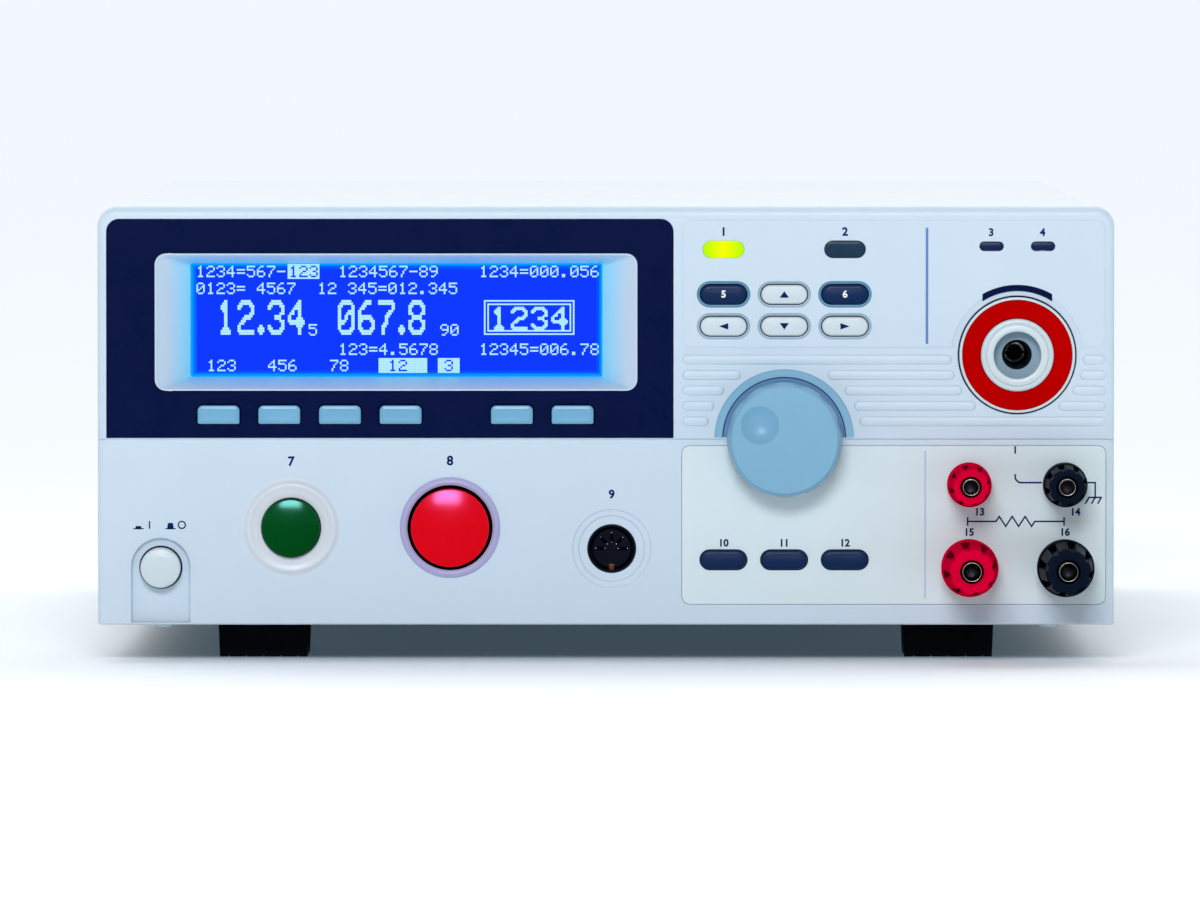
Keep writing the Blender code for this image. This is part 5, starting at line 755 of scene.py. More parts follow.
def lower_face(bm):
    outer = rim(bm, rim_chain(False), LOWER_Y)
    film = rect_of("lower_overlay", FILM_CORNER)
    holes = [hole(bm, grown(film, 0.12), LOWER_Y, 0.8, 0.1)]
    holes += [circle(START.x, START.z, START_SEAT), circle(STOP.x, STOP.z, STOP_SEAT)]
    holes.append(circle(REMOTE.x, REMOTE.z, remote_rings(bm)))
    bite = niche_outline(0.5)[::-1]
    points = []
    for a, b in zip(outer, outer[1:] + outer[:1]):
        points.append(a)
        if a[0] < bite[0][0] < b[0] and abs(a[1] - b[1]) < 1e-3:
            points += bite
    flat(bm, points, holes, LOWER_Y)
    power_niche(bm)


def remote_rings(bm):
    """The moulded rings that step down to the remote socket. Gives their outer radius."""
    y = LOWER_Y
    rows = [(REMOTE_WELL, y + 5), (REMOTE_WELL, y + 1.1, 0.3), (10.5, y + 1.1, 0.5), (10.9, y + 0.5, 0.3)]
    rows += [(12.5, y + 0.45, 0.3), (12.9, y, 0.3), (13.6, y)]
    turn(bm, REMOTE, soften(rows, 3))
    return rows[-1][0]


def power_niche(bm):
    """The arched recess round the power button, open below."""
    floor = LOWER_Y + NICHE_DEPTH
    rows = soften([(-1.2, floor), (0, floor, 0.9), (0, LOWER_Y, 0.4), (0.5, LOWER_Y)])
    loft(bm, niche_outline, rows, closed=False)
    bore = disc(POWER.x, POWER.z, POWER_RADIUS + 0.5)
    sill = niche_outline(-1.2)
    flat(bm, sill, [hole(bm, bore, floor, 3, 0.15)], floor)
    (right, z), (left, _) = sill[0], sill[-1]
    back = floor + 3
    facet(bm, [(left, floor, z), (left, back, z), (right, back, z), (right, floor, z)])


def make_bezel():
    bm = bmesh.new()
    upper_face(bm)
    lower_face(bm)
    piece("bezel", bm, "frame_plastic", replaces=["front_frame"])
    y = LEGEND_Y
    floor = y + DISH_DEPTH
    rows = [(KEY_GAP, floor + 2), (KEY_GAP, floor, 0.15), (0.85, floor, 0.4), (1.05, y, 0.25), (DISH_GROW, y)]
    # The dishes are coloured darker than the bezel: painted shade, bluer round the navy keys as their painted
    # reflection
    for look, names in (("dish_blue", NAVY_KEYS), ("dish_pale", UPPER_KEYS[:4])):
        bm = bmesh.new()
        for name in names:
            loft(bm, key_shape(name), soften(rows))
        piece(f"key_{look}", bm, look)
    key_gaps(floor + 0.12)
    dial_well()
    display_funnel()


def key_gaps(dish_y):
    """Flat black rings in the gaps round the keys: painted shade."""
    bm = bmesh.new()
    for name in UPPER_KEYS:
        loft(bm, key_shape(name), [(0.02, dish_y), (KEY_GAP + 0.02, dish_y)])
    for name in LOWER_KEYS:
        loft(bm, key_shape(name), [(0.02, LOWER_Y + 0.2), (0.5, LOWER_Y + 0.2)])
    for name in SOFT_KEYS:
        loft(bm, soft_shape(name), [(0.02, UPPER_Y + 0.2), (0.6, UPPER_Y + 0.2)])
    piece("key_gaps", bm, "void")


def dial_well():
    """The crescent over the knob: a sloping band, a fine groove, and the floor round the knob. The band and
    the floor are coloured darker blue than the bezel: painted shade.
    """
    floor, deep = UPPER_Y + STEP, UPPER_Y + STEP + 1.2
    inner = WELL_INNER - WELL_RIM
    bm = bmesh.new()
    rows = soften([(inner, deep), (inner, UPPER_Y + 0.45, 0.15), (-0.5, UPPER_Y + 0.2, 0.3), (0, UPPER_Y)], 3)
    loft(bm, well_outline, rows, closed=False)
    (right, z), (left, _) = well_outline()[0], well_outline()[-1]
    facet(bm, [(left, UPPER_Y, z), (right, UPPER_Y, z), (right, deep, z), (left, deep, z)])
    piece("dial_well_band", bm, "well_band")
    bm = bmesh.new()
    edge = inner - WELL_GROOVE
    flat(bm, well_outline(edge), [], floor)
    loft(bm, well_outline, [(edge, floor), (edge, deep)], closed=False)
    piece("dial_well_floor", bm, "well_blue")


def display_funnel():
    """The light frame that slopes in from the dark panel to the screen."""
    outer, inner = funnel_shapes()
    deep, lip = UPPER_Y + FUNNEL_DEPTH, UPPER_Y + 0.25
    rows = [(inner(), deep + 0.3), (inner(), deep)]
    steps = 6
    for k in range(1, steps + 1):
        points = [tuple(Vector(a).lerp(Vector(b), k / steps)) for a, b in zip(inner(), outer(-0.6))]
        rows.append((points, deep + (lip - deep) * k / steps))
    rows += [(outer(grow), y) for grow, y in soften([(-0.6, lip), (-0.3, UPPER_Y, 0.3), (0, UPPER_Y)])[1:]]
    rows.append((outer(), UPPER_Y + 1.2))
    bm = bmesh.new()
    bridge(bm, [ring(bm, points, y) for points, y in rows])
    piece("display_funnel", bm, "funnel_plastic_painted_glow")
    funnel_marks(deep - 0.05)


def funnel_marks(deep):
    """Two short ticks over each soft key, along the funnel's slope."""
    bm = bmesh.new()
    half, far, near = 0.15, 0.6, 0.12
    for name in SOFT_KEYS:
        for x in (middle(name).x - 1.0, middle(name).x + 1.0):
            corners = [(x - half, far), (x + half, far), (x + half, near), (x - half, near)]
            places = [(cx, deep - FUNNEL_DEPTH * s, SCREEN_LOW[1] - FUNNEL_BELOW * s) for cx, s in corners]
            facet(bm, places)
    piece("funnel_marks", bm, "dish_blue")


# Display


def make_display():
    outer, inner = funnel_shapes()
    sheet = rect_of("display_panel", (0.0, PANEL_CORNER, PANEL_CORNER, 0.0))
    bm = bmesh.new()
    holes = [hole(bm, grown(soft_shape(name), 0.35), UPPER_Y, 2.5, 0.12) for name in SOFT_KEYS]
    holes.append(outer(0.12))
    loft(bm, sheet, soften([(-0.4, UPPER_Y), (0, UPPER_Y, 0.15), (0, UPPER_Y + 1)]))
    flat(bm, sheet(-0.4), holes, UPPER_Y)
    loft(bm, grown(outer, 0.12), [(0, UPPER_Y + 1), (0, UPPER_Y)])
    piece("display_sheet", bm, "navy_plastic", replaces=["display_panel"])
    bm = bmesh.new()
    loft(bm, inner, [(-0.02, SCREEN_Y), (1, SCREEN_Y)], cap=True)
    piece("screen_glass", bm, "screen_blue")
    bm = bmesh.new()
    left, bottom = SCREEN_LOW
    bars = [(left, bottom + 1.2, left + 2.0, SCREEN_HIGH[1]), (left, bottom, SCREEN_HIGH[0], bottom + 1.2)]
    for x0, z0, x1, z1 in bars:
        polygon(bm, [(x0, z0), (x1, z0), (x1, z1), (x0, z1)], SCREEN_Y - 0.03)
    piece("screen_backlight", bm, "screen_glow")
    bm = bmesh.new()
    back = LCD_LOW.y + 0.3
    edge = rect_of("lcd_module", 1.0)
    loft(bm, edge, [(0, back), (0, LCD_HIGH.y)])
    flat(bm, edge(), [inner()], back)
    flat(bm, edge(), [], LCD_HIGH.y)
    piece("screen_rim", bm, "zinc_steel", replaces=["lcd_module"])
    screen_marks()


DOT_X, DOT_Z, DOT_FILL = 0.546, 0.54, 0.94
DIGITS = {
    "0": ".###. #...# #..## #.#.# ##..# #...# .###.",
    "1": "..#.. .##.. ..#.. ..#.. ..#.. ..#.. .###.",
    "2": ".###. #...# ....# ..##. .#... #.... #####",
    "3": ".###. #...# ....# ..##. ....# #...# .###.",
    "4": "...#. ..##. .#.#. #..#. ##### ...#. ...#.",
    "5": "##### #.... ####. ....# ....# #...# .###.",
    "6": "..##. .#... #.... ####. #...# #...# .###.",
    "7": "##### ....# ...#. ..#.. ..#.. .#... .#...",
    "8": ".###. #...# #...# .###. #...# #...# .###.",
    "9": ".###. #...# #...# .#### ....# ...#. .##..",
    ".": "..... ..... ..... ..... ..... .##.. .##..",
    "-": "..... ..... ..... ##### ..... ..... .....",
    "=": "..... ..... ##### ..... ##### ..... .....",
    " ": "..... ..... ..... ..... ..... ..... .....",
}


def glyph(mark, scale):
    """A figure's dots. At twice the size its diagonals are stepped by single dots."""
    rows = [[c == "#" for c in row] for row in DIGITS[mark].split()]
    if scale == 1:
        return rows
    height, width = len(rows), len(rows[0])

    def lit_at(r, c):
        return 0 <= r < height and 0 <= c < width and rows[r][c]

    out = [[False] * (2 * width) for _ in range(2 * height)]
    for r, row in enumerate(rows):
        for c, here in enumerate(row):
            across = (lit_at(r, c - 1), lit_at(r, c + 1))
            upright = (lit_at(r - 1, c), lit_at(r + 1, c))
            for i, (near, far) in enumerate((upright, upright[::-1])):
                for j, (side, other) in enumerate((across, across[::-1])):
                    stepped = side == near and near not in (far, other)
                    out[2 * r + i][2 * c + j] = near if stepped else here
    return out


def dots(bm, rows, left, top, stretch=1.0, inverse=False):
    wide, high = DOT_X * DOT_FILL / 2, DOT_Z * stretch * DOT_FILL / 2
    for r, row in enumerate(rows):
        for c, on in enumerate(row):
            if on != inverse:
                x, z = left + c * DOT_X, top - r * DOT_Z * stretch
                west, east, low, up = x - wide, x + wide, z - high, z + high
                polygon(bm, [(west, low), (east, low), (east, up), (west, up)], SCREEN_Y - 0.06)


def figures_on_screen(bm, text, left, top, scale=1, stretch=1.0, margin=None):
    """A row of figures, plain, or dark on a lit block where a margin is given."""
    rows = [[] for _ in range(7 * scale)]
    for mark in text:
        shape = glyph(mark, scale)
        if mark == "." and scale == 2:
            shape = [row[2:6] for row in shape]
        for row, dots_in in zip(rows, shape):
            row += dots_in + [False] * scale
    if margin is not None:
        side = [False] * margin
        rows = [side + row[:-scale] + side for row in rows]
        blank = [False] * len(rows[0])
        rows = [blank, *rows, blank]
        left, top = left - margin * DOT_X, top + DOT_Z
    dots(bm, rows, left, top, stretch, margin is not None)


def dot_frame(bm, left, top, columns, count):
    """A one-dot line round a block."""
    rows = [[r in (0, count - 1) or c in (0, columns - 1) for c in range(columns)] for r in range(count)]
    dots(bm, rows, left, top)


# The display's rows: text, left, top, scale, stretch, and the margin of a lit block
SCREEN_ROWS = (
    ("1234=567-", -132.9, 128.2),
    ("1234567-89", -86.6, 128.2),
    ("1234=000.056", -40.8, 128.2),
    ("0123= 4567", -132.9, 122.7),
    ("12 345=012.345", -93.4, 122.7),
    ("123=4.5678", -86.6, 102.9),
    ("12345=006.78", -40.8, 102.9),
    ("123", -129.4, 97.6),
    ("456", -109.6, 97.6),
    ("78", -89.5, 97.6),
    ("5", -96.4, 109.2),
    ("90", -53.6, 109.2),
    ("123", -102.7, 128.2, 1, 1.0, 1),
    ("12 ", -70.4, 97.6, 1, 1.0, 6),
    ("3", -52.2, 97.6, 1, 1.0, 4),
    ("12.34", -126.1, 116.9, 2, 1.5),
    ("067.8", -86.9, 116.9, 2, 1.5),
    ("1234", -37.2, 114.8, 2),
)
# The frames round the result block: left, top, dots across, dots down
SCREEN_FRAMES = ((-39.4, 117.0, 54, 21), (-38.3, 115.9, 50, 17))


def screen_marks():
    """Plain figures in the places where the display shows its readings."""
    bm = bmesh.new()
    for row in SCREEN_ROWS:
        figures_on_screen(bm, *row)
    for frame_row in SCREEN_FRAMES:
        dot_frame(bm, *frame_row)
    piece("screen_figures", bm, "screen_text")


# Keys and lamps


def make_keys():
    for name in UPPER_KEYS + LOWER_KEYS:
        low, high = span(name)
        navy = name in NAVY_KEYS or name in LOWER_KEYS
        rows = [(-2.4, low.y), (-0.5, low.y + 0.12, 0.9), (0, low.y + 0.7, 0.4), (0, high.y)]
        key_cap(name, key_shape(name), rows, "navy_key" if navy else "white_plastic")
    for name in SOFT_KEYS:
        low, high = span(name)
        rows = [(-1.9, low.y + 0.05), (-1.1, low.y, 0.5), (0, low.y + 0.25, 0.5), (0, high.y)]
        key_cap(name, soft_shape(name), rows, "soft_key_blue")


def key_cap(name, shape, rows, look):
    """A key's cap, with the flange behind the wall that keeps it in."""
    low, high = span(name)
    bm = bmesh.new()
    loft(bm, shape, soften(rows), cap=True)
    block(bm, (low.x, high.y - 1.2, low.z), high, 0.1, 1)
    piece(f"{name}_cap", bm, look, name, [name])


def make_lamps():
    face = span("pass_lamp")[0].y
    rows = soften([(-1.0, face), (0, face + 0.1, 0.35), (0, face + 3)])
    shapes = lamp_shapes()
    groups = (
        ("pass_lamp", "lamp_green", shapes[:1]),
        ("fail_lamp", "lamp_dark", shapes[1:2]),
        ("status_lens", "status_dark", shapes[2:]),
    )
    for name, look, members in groups:
        bm = bmesh.new()
        for shape in members:
            loft(bm, shape, rows, cap=True)
        piece(f"{name}_face", bm, look, replaces=[name])


# Dial


def make_dial():
    face = span("dial")[0].y
    back = UPPER_Y - 0.6
    profile = [(DIAL_FACE - 0.6, face), (DIAL_FACE, face, 0.2), (DIAL_FACE + 0.7, face + 0.9, 0.6)]
    profile += [(DIAL_RADIUS, face + 4.2, 1.0), (DIAL_RADIUS, back, 0.3), (DIAL_RADIUS - 2, back)]
    bm = bmesh.new()
    limit = scoops(DIAL_SCOOPS, SCOOP_REACH, SCOOP_RADIUS, SCOOP_TURN, face + 0.35, back - 2)
    turn(bm, DIAL, soften(profile, 8), 216, limit)
    cx, cz = DIAL.x + DIMPLE_X, DIAL.z + DIMPLE_Z
    edge = DIMPLE_RADIUS + 0.12
    flat(bm, circle(DIAL.x, DIAL.z, DIAL_FACE - 0.6, 216), [circle(cx, cz, edge)], face)
    bowl = (DIMPLE_RADIUS**2 + DIMPLE_DEPTH**2) / (2 * DIMPLE_DEPTH)
    steps = 12
    radii = [DIMPLE_RADIUS * k / steps for k in range(steps)]
    rows = [(r, face + DIMPLE_DEPTH - bowl + math.sqrt(bowl**2 - r**2)) for r in radii]
    turn(bm, (cx, 0, cz), rows + [(DIMPLE_RADIUS, face + 0.06), (edge, face)])
    piece("dial_knob", bm, "pale_blue_plastic", "dial", ["dial"])


# High-voltage terminal


def make_terminal():
    """The insulator with its collar and bush, the red ring between them, and the bore."""
    nose, back = span("hv_bushing")[0].y, span("hv_bushing")[1].y
    front = UPPER_Y - 1.6
    seat, floor = front + 1.0, nose + 7.0
    bm = bmesh.new()
    outer, inner = HV_RING_OUTER, HV_RING_INNER
    collar = [(inner, seat), (outer, seat), (outer, front, 0.1), (HV_RADIUS, front, 0.4)]
    turn(bm, HV, soften([*collar, (HV_RADIUS, UPPER_Y + 1.2)]), 96)
    bush = [(HV_MOUTH, floor), (HV_MOUTH, nose + 0.2, 0.5), (8.6, nose, 0.5), (9.9, nose + 0.15, 0.5)]
    bush += [(10.25, nose + 1.1, 0.2), (10.5, nose + 1.1, 0.2), (10.7, nose + 0.8, 0.2)]
    bush += [(11.3, nose + 0.9, 0.4), (11.8, nose + 1.5, 0.4), (11.8, seat)]
    turn(bm, HV, soften(bush), 96)
    piece("hv_insulator", bm, "white_plastic", replaces=["hv_bushing"])
    ring_y = front + 0.1
    rows = [(inner, seat), (inner, ring_y, 0.25), (outer - 0.1, ring_y, 0.25), (outer - 0.1, seat)]
    turned("hv_red_ring", HV, rows, "ring_red", replaces=["hv_ring"])
    # The floor of the terminal's mouth, coloured grey: painted shade
    rows = [(HV_NECK, floor + 1.5), (HV_NECK, floor, 0.4), (HV_MOUTH, floor)]
    turned("hv_socket_floor", HV, rows, "recess_grey")
    # The bore inside the white insulator, coloured near black: painted shade
    rows = [(0, back - 1), (HV_BORE, back - 1), (HV_BORE, floor + 3.0, 0.4), (HV_NECK, floor + 1.5)]
    turned("hv_bore", HV, rows, "bore_black")
    line_y = UPPER_Y - 0.05
    rows = [(HV_RADIUS + 0.02, line_y), (HV_RADIUS + 0.46, line_y)]
    turned("hv_shadow_line", HV, rows, "navy_plastic")
    live_contact()
    bm = bmesh.new()
    loft(bm, hv_mark, [(0, LEGEND_Y - 0.12), (0, LEGEND_Y)], cap=True)
    piece("hv_arc_mark", bm, "navy_plastic")


def live_contact():
    """Two curved leaves deep in the bore."""
    tip = span("hv_contact")[0].y
    inside, nose, shoulder, outside = HV_LEAF
    rows = ((inside, 12.0), (inside, 0.4), (nose, 0.1), (shoulder, 0.0), (outside, 0.5), (outside, 12.0))
    bm = bmesh.new()
    for start in (8, 188):
        arcs = [(arc(HV.x, HV.z, radius, start, start + 164, 20), tip + deep) for radius, deep in rows]
        rings = [ring(bm, points, y) for points, y in arcs]
        bridge(bm, rings, closed=False)
        bm.faces.new([r[0] for r in rings])
        bm.faces.new([r[-1] for r in rings][::-1])
    piece("hv_contact_leaves", bm, "zinc_steel", replaces=["hv_contact"])


def hv_mark(grow=0):
    """The dark arc over the high-voltage terminal."""
    outer, inner, half = HV_MARK_OUTER, HV_MARK_INNER, HV_MARK_HALF
    a, b = math.degrees(math.acos(half / outer)), math.degrees(math.acos(half / inner))
    return arc(HV.x, HV.z, outer, a, 180 - a, 32) + arc(HV.x, HV.z, inner, 180 - b, b, 32)


# Start, stop and power buttons


def push_dome(name, place, radius, rise, look, node_name):
    """A domed push button over its guide."""
    low, high = span(node_name)
    bowl = (radius**2 + rise**2) / (2 * rise)
    radii = [(radius - 0.5) * k / 12 for k in range(13)]
    rows = [(r, low.y + bowl - math.sqrt(bowl**2 - r**2)) for r in radii]
    last, edge_y = rows[-1], rows[-1][1] + 0.15
    rows += soften([last, (radius, edge_y, 0.35), (radius, LOWER_Y + 3.6), (radius, high.y)])[1:]
    bm = bmesh.new()
    turn(bm, place, rows, 96)
    piece(name, bm, look, node_name, [node_name])


def make_buttons():
    y = LOWER_Y
    rows = [(START_BORE, y + 12), (START_BORE, y - 1.0, 0.3), (12.3, y - 1.0, 2.0), (14.0, y - 1.4, 1.0)]
    rows += [(15.4, y - 0.2, 0.8), (15.95, y)]
    turned("start_ring", START, rows, "ring_white", replaces=["start_switch"])
    rows = [(STOP_BORE, y + 12), (STOP_BORE, y - 1.0, 0.4), (14.9, y - 1.5, 0.8), (16.1, y - 0.9, 0.6)]
    rows.append((16.3, y))
    turned("stop_ring", STOP, rows, "ring_lilac", replaces=["stop_switch"])
    push_dome("start_dome", START, START_RADIUS, 1.05, "green_plastic", "start_button")
    push_dome("stop_dome", STOP, STOP_RADIUS, 1.6, "red_plastic", "stop_button")
    for name, place, bore in (("start_well", START, START_BORE), ("stop_well", STOP, STOP_BORE)):
        # A black sleeve in each button's bore: painted shade
        radius = bore - 0.02
        turned(name, place, [(radius - 1.6, y + 8), (radius, y + 8), (radius, y - 0.4)], "void")
    low, high = span("power_button")
    front, flange, back = low.y, y + 3.9, y + 5.1
    r, wide, stem = POWER_RADIUS, POWER_RADIUS + 1.8, 3
    rows = [(0, front), (r * 0.6, front + 0.15, 2), (r - 0.3, front + 0.5, 0.8), (r, front + 1.2, 0.6)]
    rows += [(r, flange), (wide, flange), (wide, back), (stem, back), (stem, high.y)]
    turned("power_cap", POWER, rows, "white_plastic", "power_button", ["power_button"])
    # A black ring in the gap round the power button: painted shade
    rows = [(r, y + 3.4), (r + 0.49, y + 3.4), (r + 0.49, y + NICHE_DEPTH + 0.2)]
    turned("power_gap", POWER, rows, "void")


# Remote socket


def make_remote():
    front = LOWER_Y + 1.0
    floor = front + 0.6
    x, z = REMOTE.x, REMOTE.z
    rows = [(0, floor), (REMOTE_INNER, floor, 0.2), (REMOTE_INNER, front + 6), (REMOTE_WALL, front + 6)]
    rows += [(REMOTE_WALL, front, 0.2), (REMOTE_RADIUS, front, 0.2), (REMOTE_RADIUS, front + 8)]
    turned("remote_shell", REMOTE, rows, "black_plastic", replaces=["remote_socket"])
    bm, metal = bmesh.new(), bmesh.new()
    foot = floor - 0.03
    for k in range(REMOTE_CONTACTS):
        way = Vector((math.cos(math.radians(45 * k)), math.sin(math.radians(45 * k))))
        side = Vector((-way.y, way.x)) * 0.5
        centre = Vector((x, z)) + way * REMOTE_CIRCLE
        near, far = centre - way * REMOTE_SLOT, centre + way * REMOTE_SLOT
        # Black slots for the remote contacts: painted shade
        polygon(bm, [near - side, far - side, far + side, near + side], foot)
        for end in (near, far):
            turn(metal, (end.x, 0, end.y), [(0, front + 0.4), (0.14, front + 0.43), (0.22, foot)], 12)
    piece("remote_slots", bm, "void")
    piece("remote_contacts", metal, "zinc_steel")
    bm = bmesh.new()
    block(bm, (x - 0.9, front + 0.1, z - 7.0), (x + 0.9, front + 3, z - 5.0), 0.2)
    piece("remote_keyway", bm, "keyway_copper")


# Binding posts


def make_post(kind, side):
    """A fluted screw cap over its base, with the plated stud in its bore."""
    nose, shoulder, flange, bore, reach, scoop = POST_SIZES[kind]
    name = f"{kind}_{side}"
    cap, post = f"{name}_cap", f"{name}_post"
    look, shade = ("post_red", "post_shade") if side == "h" else ("post_black", "void")
    place = middle(cap)
    front, back = span(cap)[0].y, span(cap)[1].y
    step, face = back - POST_FLANGE, front + 0.35
    rows = [(bore, front + 6), (bore, front + 0.2, 0.3), (bore + 0.9, front, 0.3), (bore + 1.1, face, 0.2)]
    rows += [(nose - 0.4, face, 0.3), (nose, front + 1.0, 0.4), (shoulder, step), (shoulder, step + 0.01)]
    rows += [(flange, step + 0.3, 0.4), (flange, back, 0.4), (flange - 2, back)]
    limit = scoops(POST_SCOOPS, reach, scoop, POST_PHASES[name], front, step + 0.001)
    turned(f"{name}_knob", place, rows, look, cap, [cap], 240, limit)
    low, high = span(post)
    tip, base, tube = low.y, (high.z - low.z) / 2, bore - 0.75
    rows = [(base * 0.5, back + 0.35), (base - 0.1, back + 0.35, 0.3), (base, back + 1.4, 0.6)]
    turned(f"{name}_base", place, [*rows, (base, LOWER_Y - 0.3)], look, replaces=[post])
    edge = (tube - 0.25, tip + 0.1)
    # The stud's inner cone and bore, darker than its plated rim: painted shade
    rows = [(0, tip + 13), (1.95, tip + 13), (2.0, tip + 2.2, 0.4), (tube - 0.35, tip + 0.5, 0.3), edge]
    turned(f"{name}_stud", place, rows, "dark_metal")
    rows = [edge, (tube - 0.1, tip, 0.08), (tube, tip + 0.25, 0.1), (tube, tip + 9)]
    turned(f"{name}_stud_rim", place, rows, "plated_brass")
    # A black sleeve between the cap's bore and the stud: painted shade
    turned(f"{name}_bore", place, [(tube, front + 3), (bore - 0.02, front + 3)], "void", cap)
    # Dark rings at the bottoms of the notches, dark red on red caps and black on black caps: painted shade
    rows = [(reach - scoop, step - 0.03), (shoulder - 0.05, step - 0.03)]
    turned(f"{name}_notches", place, rows, shade, cap)


# Overlay film and printed marks


def make_film():
    bm = bmesh.new()
    film = rect_of("lower_overlay", FILM_CORNER)
    holes = [hole(bm, grown(key_shape(name), 0.35), LOWER_Y, 3, 0.1) for name in LOWER_KEYS]
    loft(bm, film, soften([(-0.3, LOWER_Y), (0, LOWER_Y, 0.1), (0, FILM_HIGH.y)]))
    flat(bm, film(-0.3), holes, LOWER_Y)
    piece("overlay_film", bm, "label_film", replaces=["lower_overlay"])


def print_figures(text, x, z, height, face_y, look="ink_navy", body=CASE):
    """Plain figures printed on a face, as a thin mesh."""
    name = f"figure_{text}"
    curve = bpy.data.curves.new(name, "FONT")
    curve.body = text
    curve.size = height * MM / 0.7
    curve.align_x = curve.align_y = "CENTER"
    curve.offset = height * 0.05 * MM
    curve.extrude = 0.01 * MM
    curve.resolution_u = 6
    drawn = put(name, curve)
    drawn.location = Vector((x, face_y - INK_LIFT, z)) * MM
    drawn.rotation_euler = (math.radians(90), 0, 0)
    bpy.context.view_layer.update()
    mesh = bpy.data.meshes.new_from_object(drawn.evaluated_get(bpy.context.evaluated_depsgraph_get()))
    mesh.transform(drawn.matrix_world)
    bpy.data.objects.remove(drawn)
    mesh.materials.clear()
    mesh.materials.append(LOOKS[look])
    item = put(name, mesh)
    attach(item, body)


def make_prints():
    """Plain numbers where the controls have captions: text, x, z and height."""
    lamps = [middle(name).x for name in ("pass_lamp", "fail_lamp")]
    posts = [middle(name).x for name in ("sense_h_cap", "sense_l_cap")]
    upper = [("1", lamps[0], 139.6, 2.6), ("2", lamps[1], 139.6, 2.6), ("3", 125.0, 139.4, 2.4)]
    upper.append(("4", 141.7, 139.4, 2.4))
    lower = [("7", START.x, 65.0, 2.9), ("8", STOP.x, 65.2, 2.9), ("9", REMOTE.x, 54.3, 2.7)]
    lower += [("13", posts[0] + 3.4, 48.6, 2.3), ("14", posts[1] + 3.4, 48.6, 2.3)]
    lower += [("15", posts[0], 42.0, 2.3), ("16", posts[1], 42.0, 2.3)]
    lower += [(str(10 + i), middle(name).x, 38.5, 2.3) for i, name in enumerate(LOWER_KEYS)]
    for rows, y in ((upper, LEGEND_Y), (lower, LOWER_Y)):
        for row in rows:
            print_figures(*row, y)
    for text, name in zip(("5", "6"), NAVY_KEYS):
        print_figures(text, middle(name).x, middle(name).z, 2.2, span(name)[0].y, "ink_white", name)
    arrows()
    power_marks()
    circuit_lines()


def arrows():
    """The arrow printed on each direction key."""
    for name, angle in (("left_key", 180), ("right_key", 0), ("up_key", 90), ("down_key", 270)):
        deep, across = (1.05, 1.5) if name in ("up_key", "down_key") else (1.5, 1.05)
        spin = Matrix.Rotation(math.radians(angle), 2)
        centre = Vector((middle(name).x, middle(name).z))
        points = [spin @ Vector(p) + centre for p in ((deep, 0), (-deep, across), (-deep, -across))]
        bm = bmesh.new()
        polygon(bm, points, span(name)[0].y - INK_LIFT)
        piece(f"{name}_arrow", bm, "ink_navy", name)


def power_marks():
    """The pushed-in and sprung-out marks over the power button, with the line and the ring."""
    bm = bmesh.new()
    y, z = LOWER_Y - INK_LIFT, 43.2
    for x, height in ((-151.8, 0.9), (-141.4, 1.9)):
        stroke(bm, [(x - 1.7, z), (x + 1.7, z)], 0.35, y)
        polygon(bm, [(x - 1.1, z), (x + 1.1, z), (x + 0.8, z + height), (x - 0.8, z + height)], y)
    stroke(bm, [(-148.2, z), (-148.2, z + 2.5)], 0.45, y)
    loop = circle(-137.7, z + 1.25, 1.15, 32)
    stroke(bm, loop + loop[:2], 0.42, y)
    piece("power_scale", bm, "ink_navy")


def circuit_lines():
    """Dividers and the plain circuit drawing round the binding posts."""
    for name, look, x, low, high, width, y in (
        ("upper_divider", "ink_blue", 104.2, 103.3, 141.0, 0.85, LEGEND_Y),
        # The lower divider is a fine groove, drawn as a faint line: painted shade
        ("lower_divider", "ink_faint", 103.7, 20.5, 68.5, 0.5, LOWER_Y),
    ):
        bm = bmesh.new()
        stroke(bm, [(x, low), (x, high)], width, y - INK_LIFT)
        piece(name, bm, look)
    thin, thick = 0.5, 0.55
    left, right, level, peak, bar = 117.5, 148.8, 45.6, 1.6, 1.4
    zigzag = [(127.75 + 2.1 * k, level + (peak if k % 2 == 0 else -peak)) for k in range(6)]
    earth_x, earth_z = 158.9, 53.4
    lines = [
        ([(left, level), (126.7, level), *zigzag, (139.3, level), (right, level)], thin),
        ([(132.9, 70.0), (132.9, 67.6)], thick),
        ([(132.9, 61.0), *arc(134.9, 60.2, 2.0, 180, 270, 8), (141.6, 58.2)], thick),
        ([(156.2, 58.2), (earth_x, 58.2), (earth_x, 53.5)], thin),
        ([(156.6, earth_z), (161.1, earth_z)], thin),
    ]
    lines += [([(x, level - bar), (x, level + bar)], thin) for x in (left, right)]
    lines += [([(earth_x + i, earth_z), (earth_x + i - 1.2, 51.3)], thin) for i in (-2, 0, 2)]
    bm = bmesh.new()
    for points, width in lines:
        stroke(bm, points, width, LOWER_Y - INK_LIFT)
    piece("circuit_lines", bm, "ink_navy")


# The rest of the case


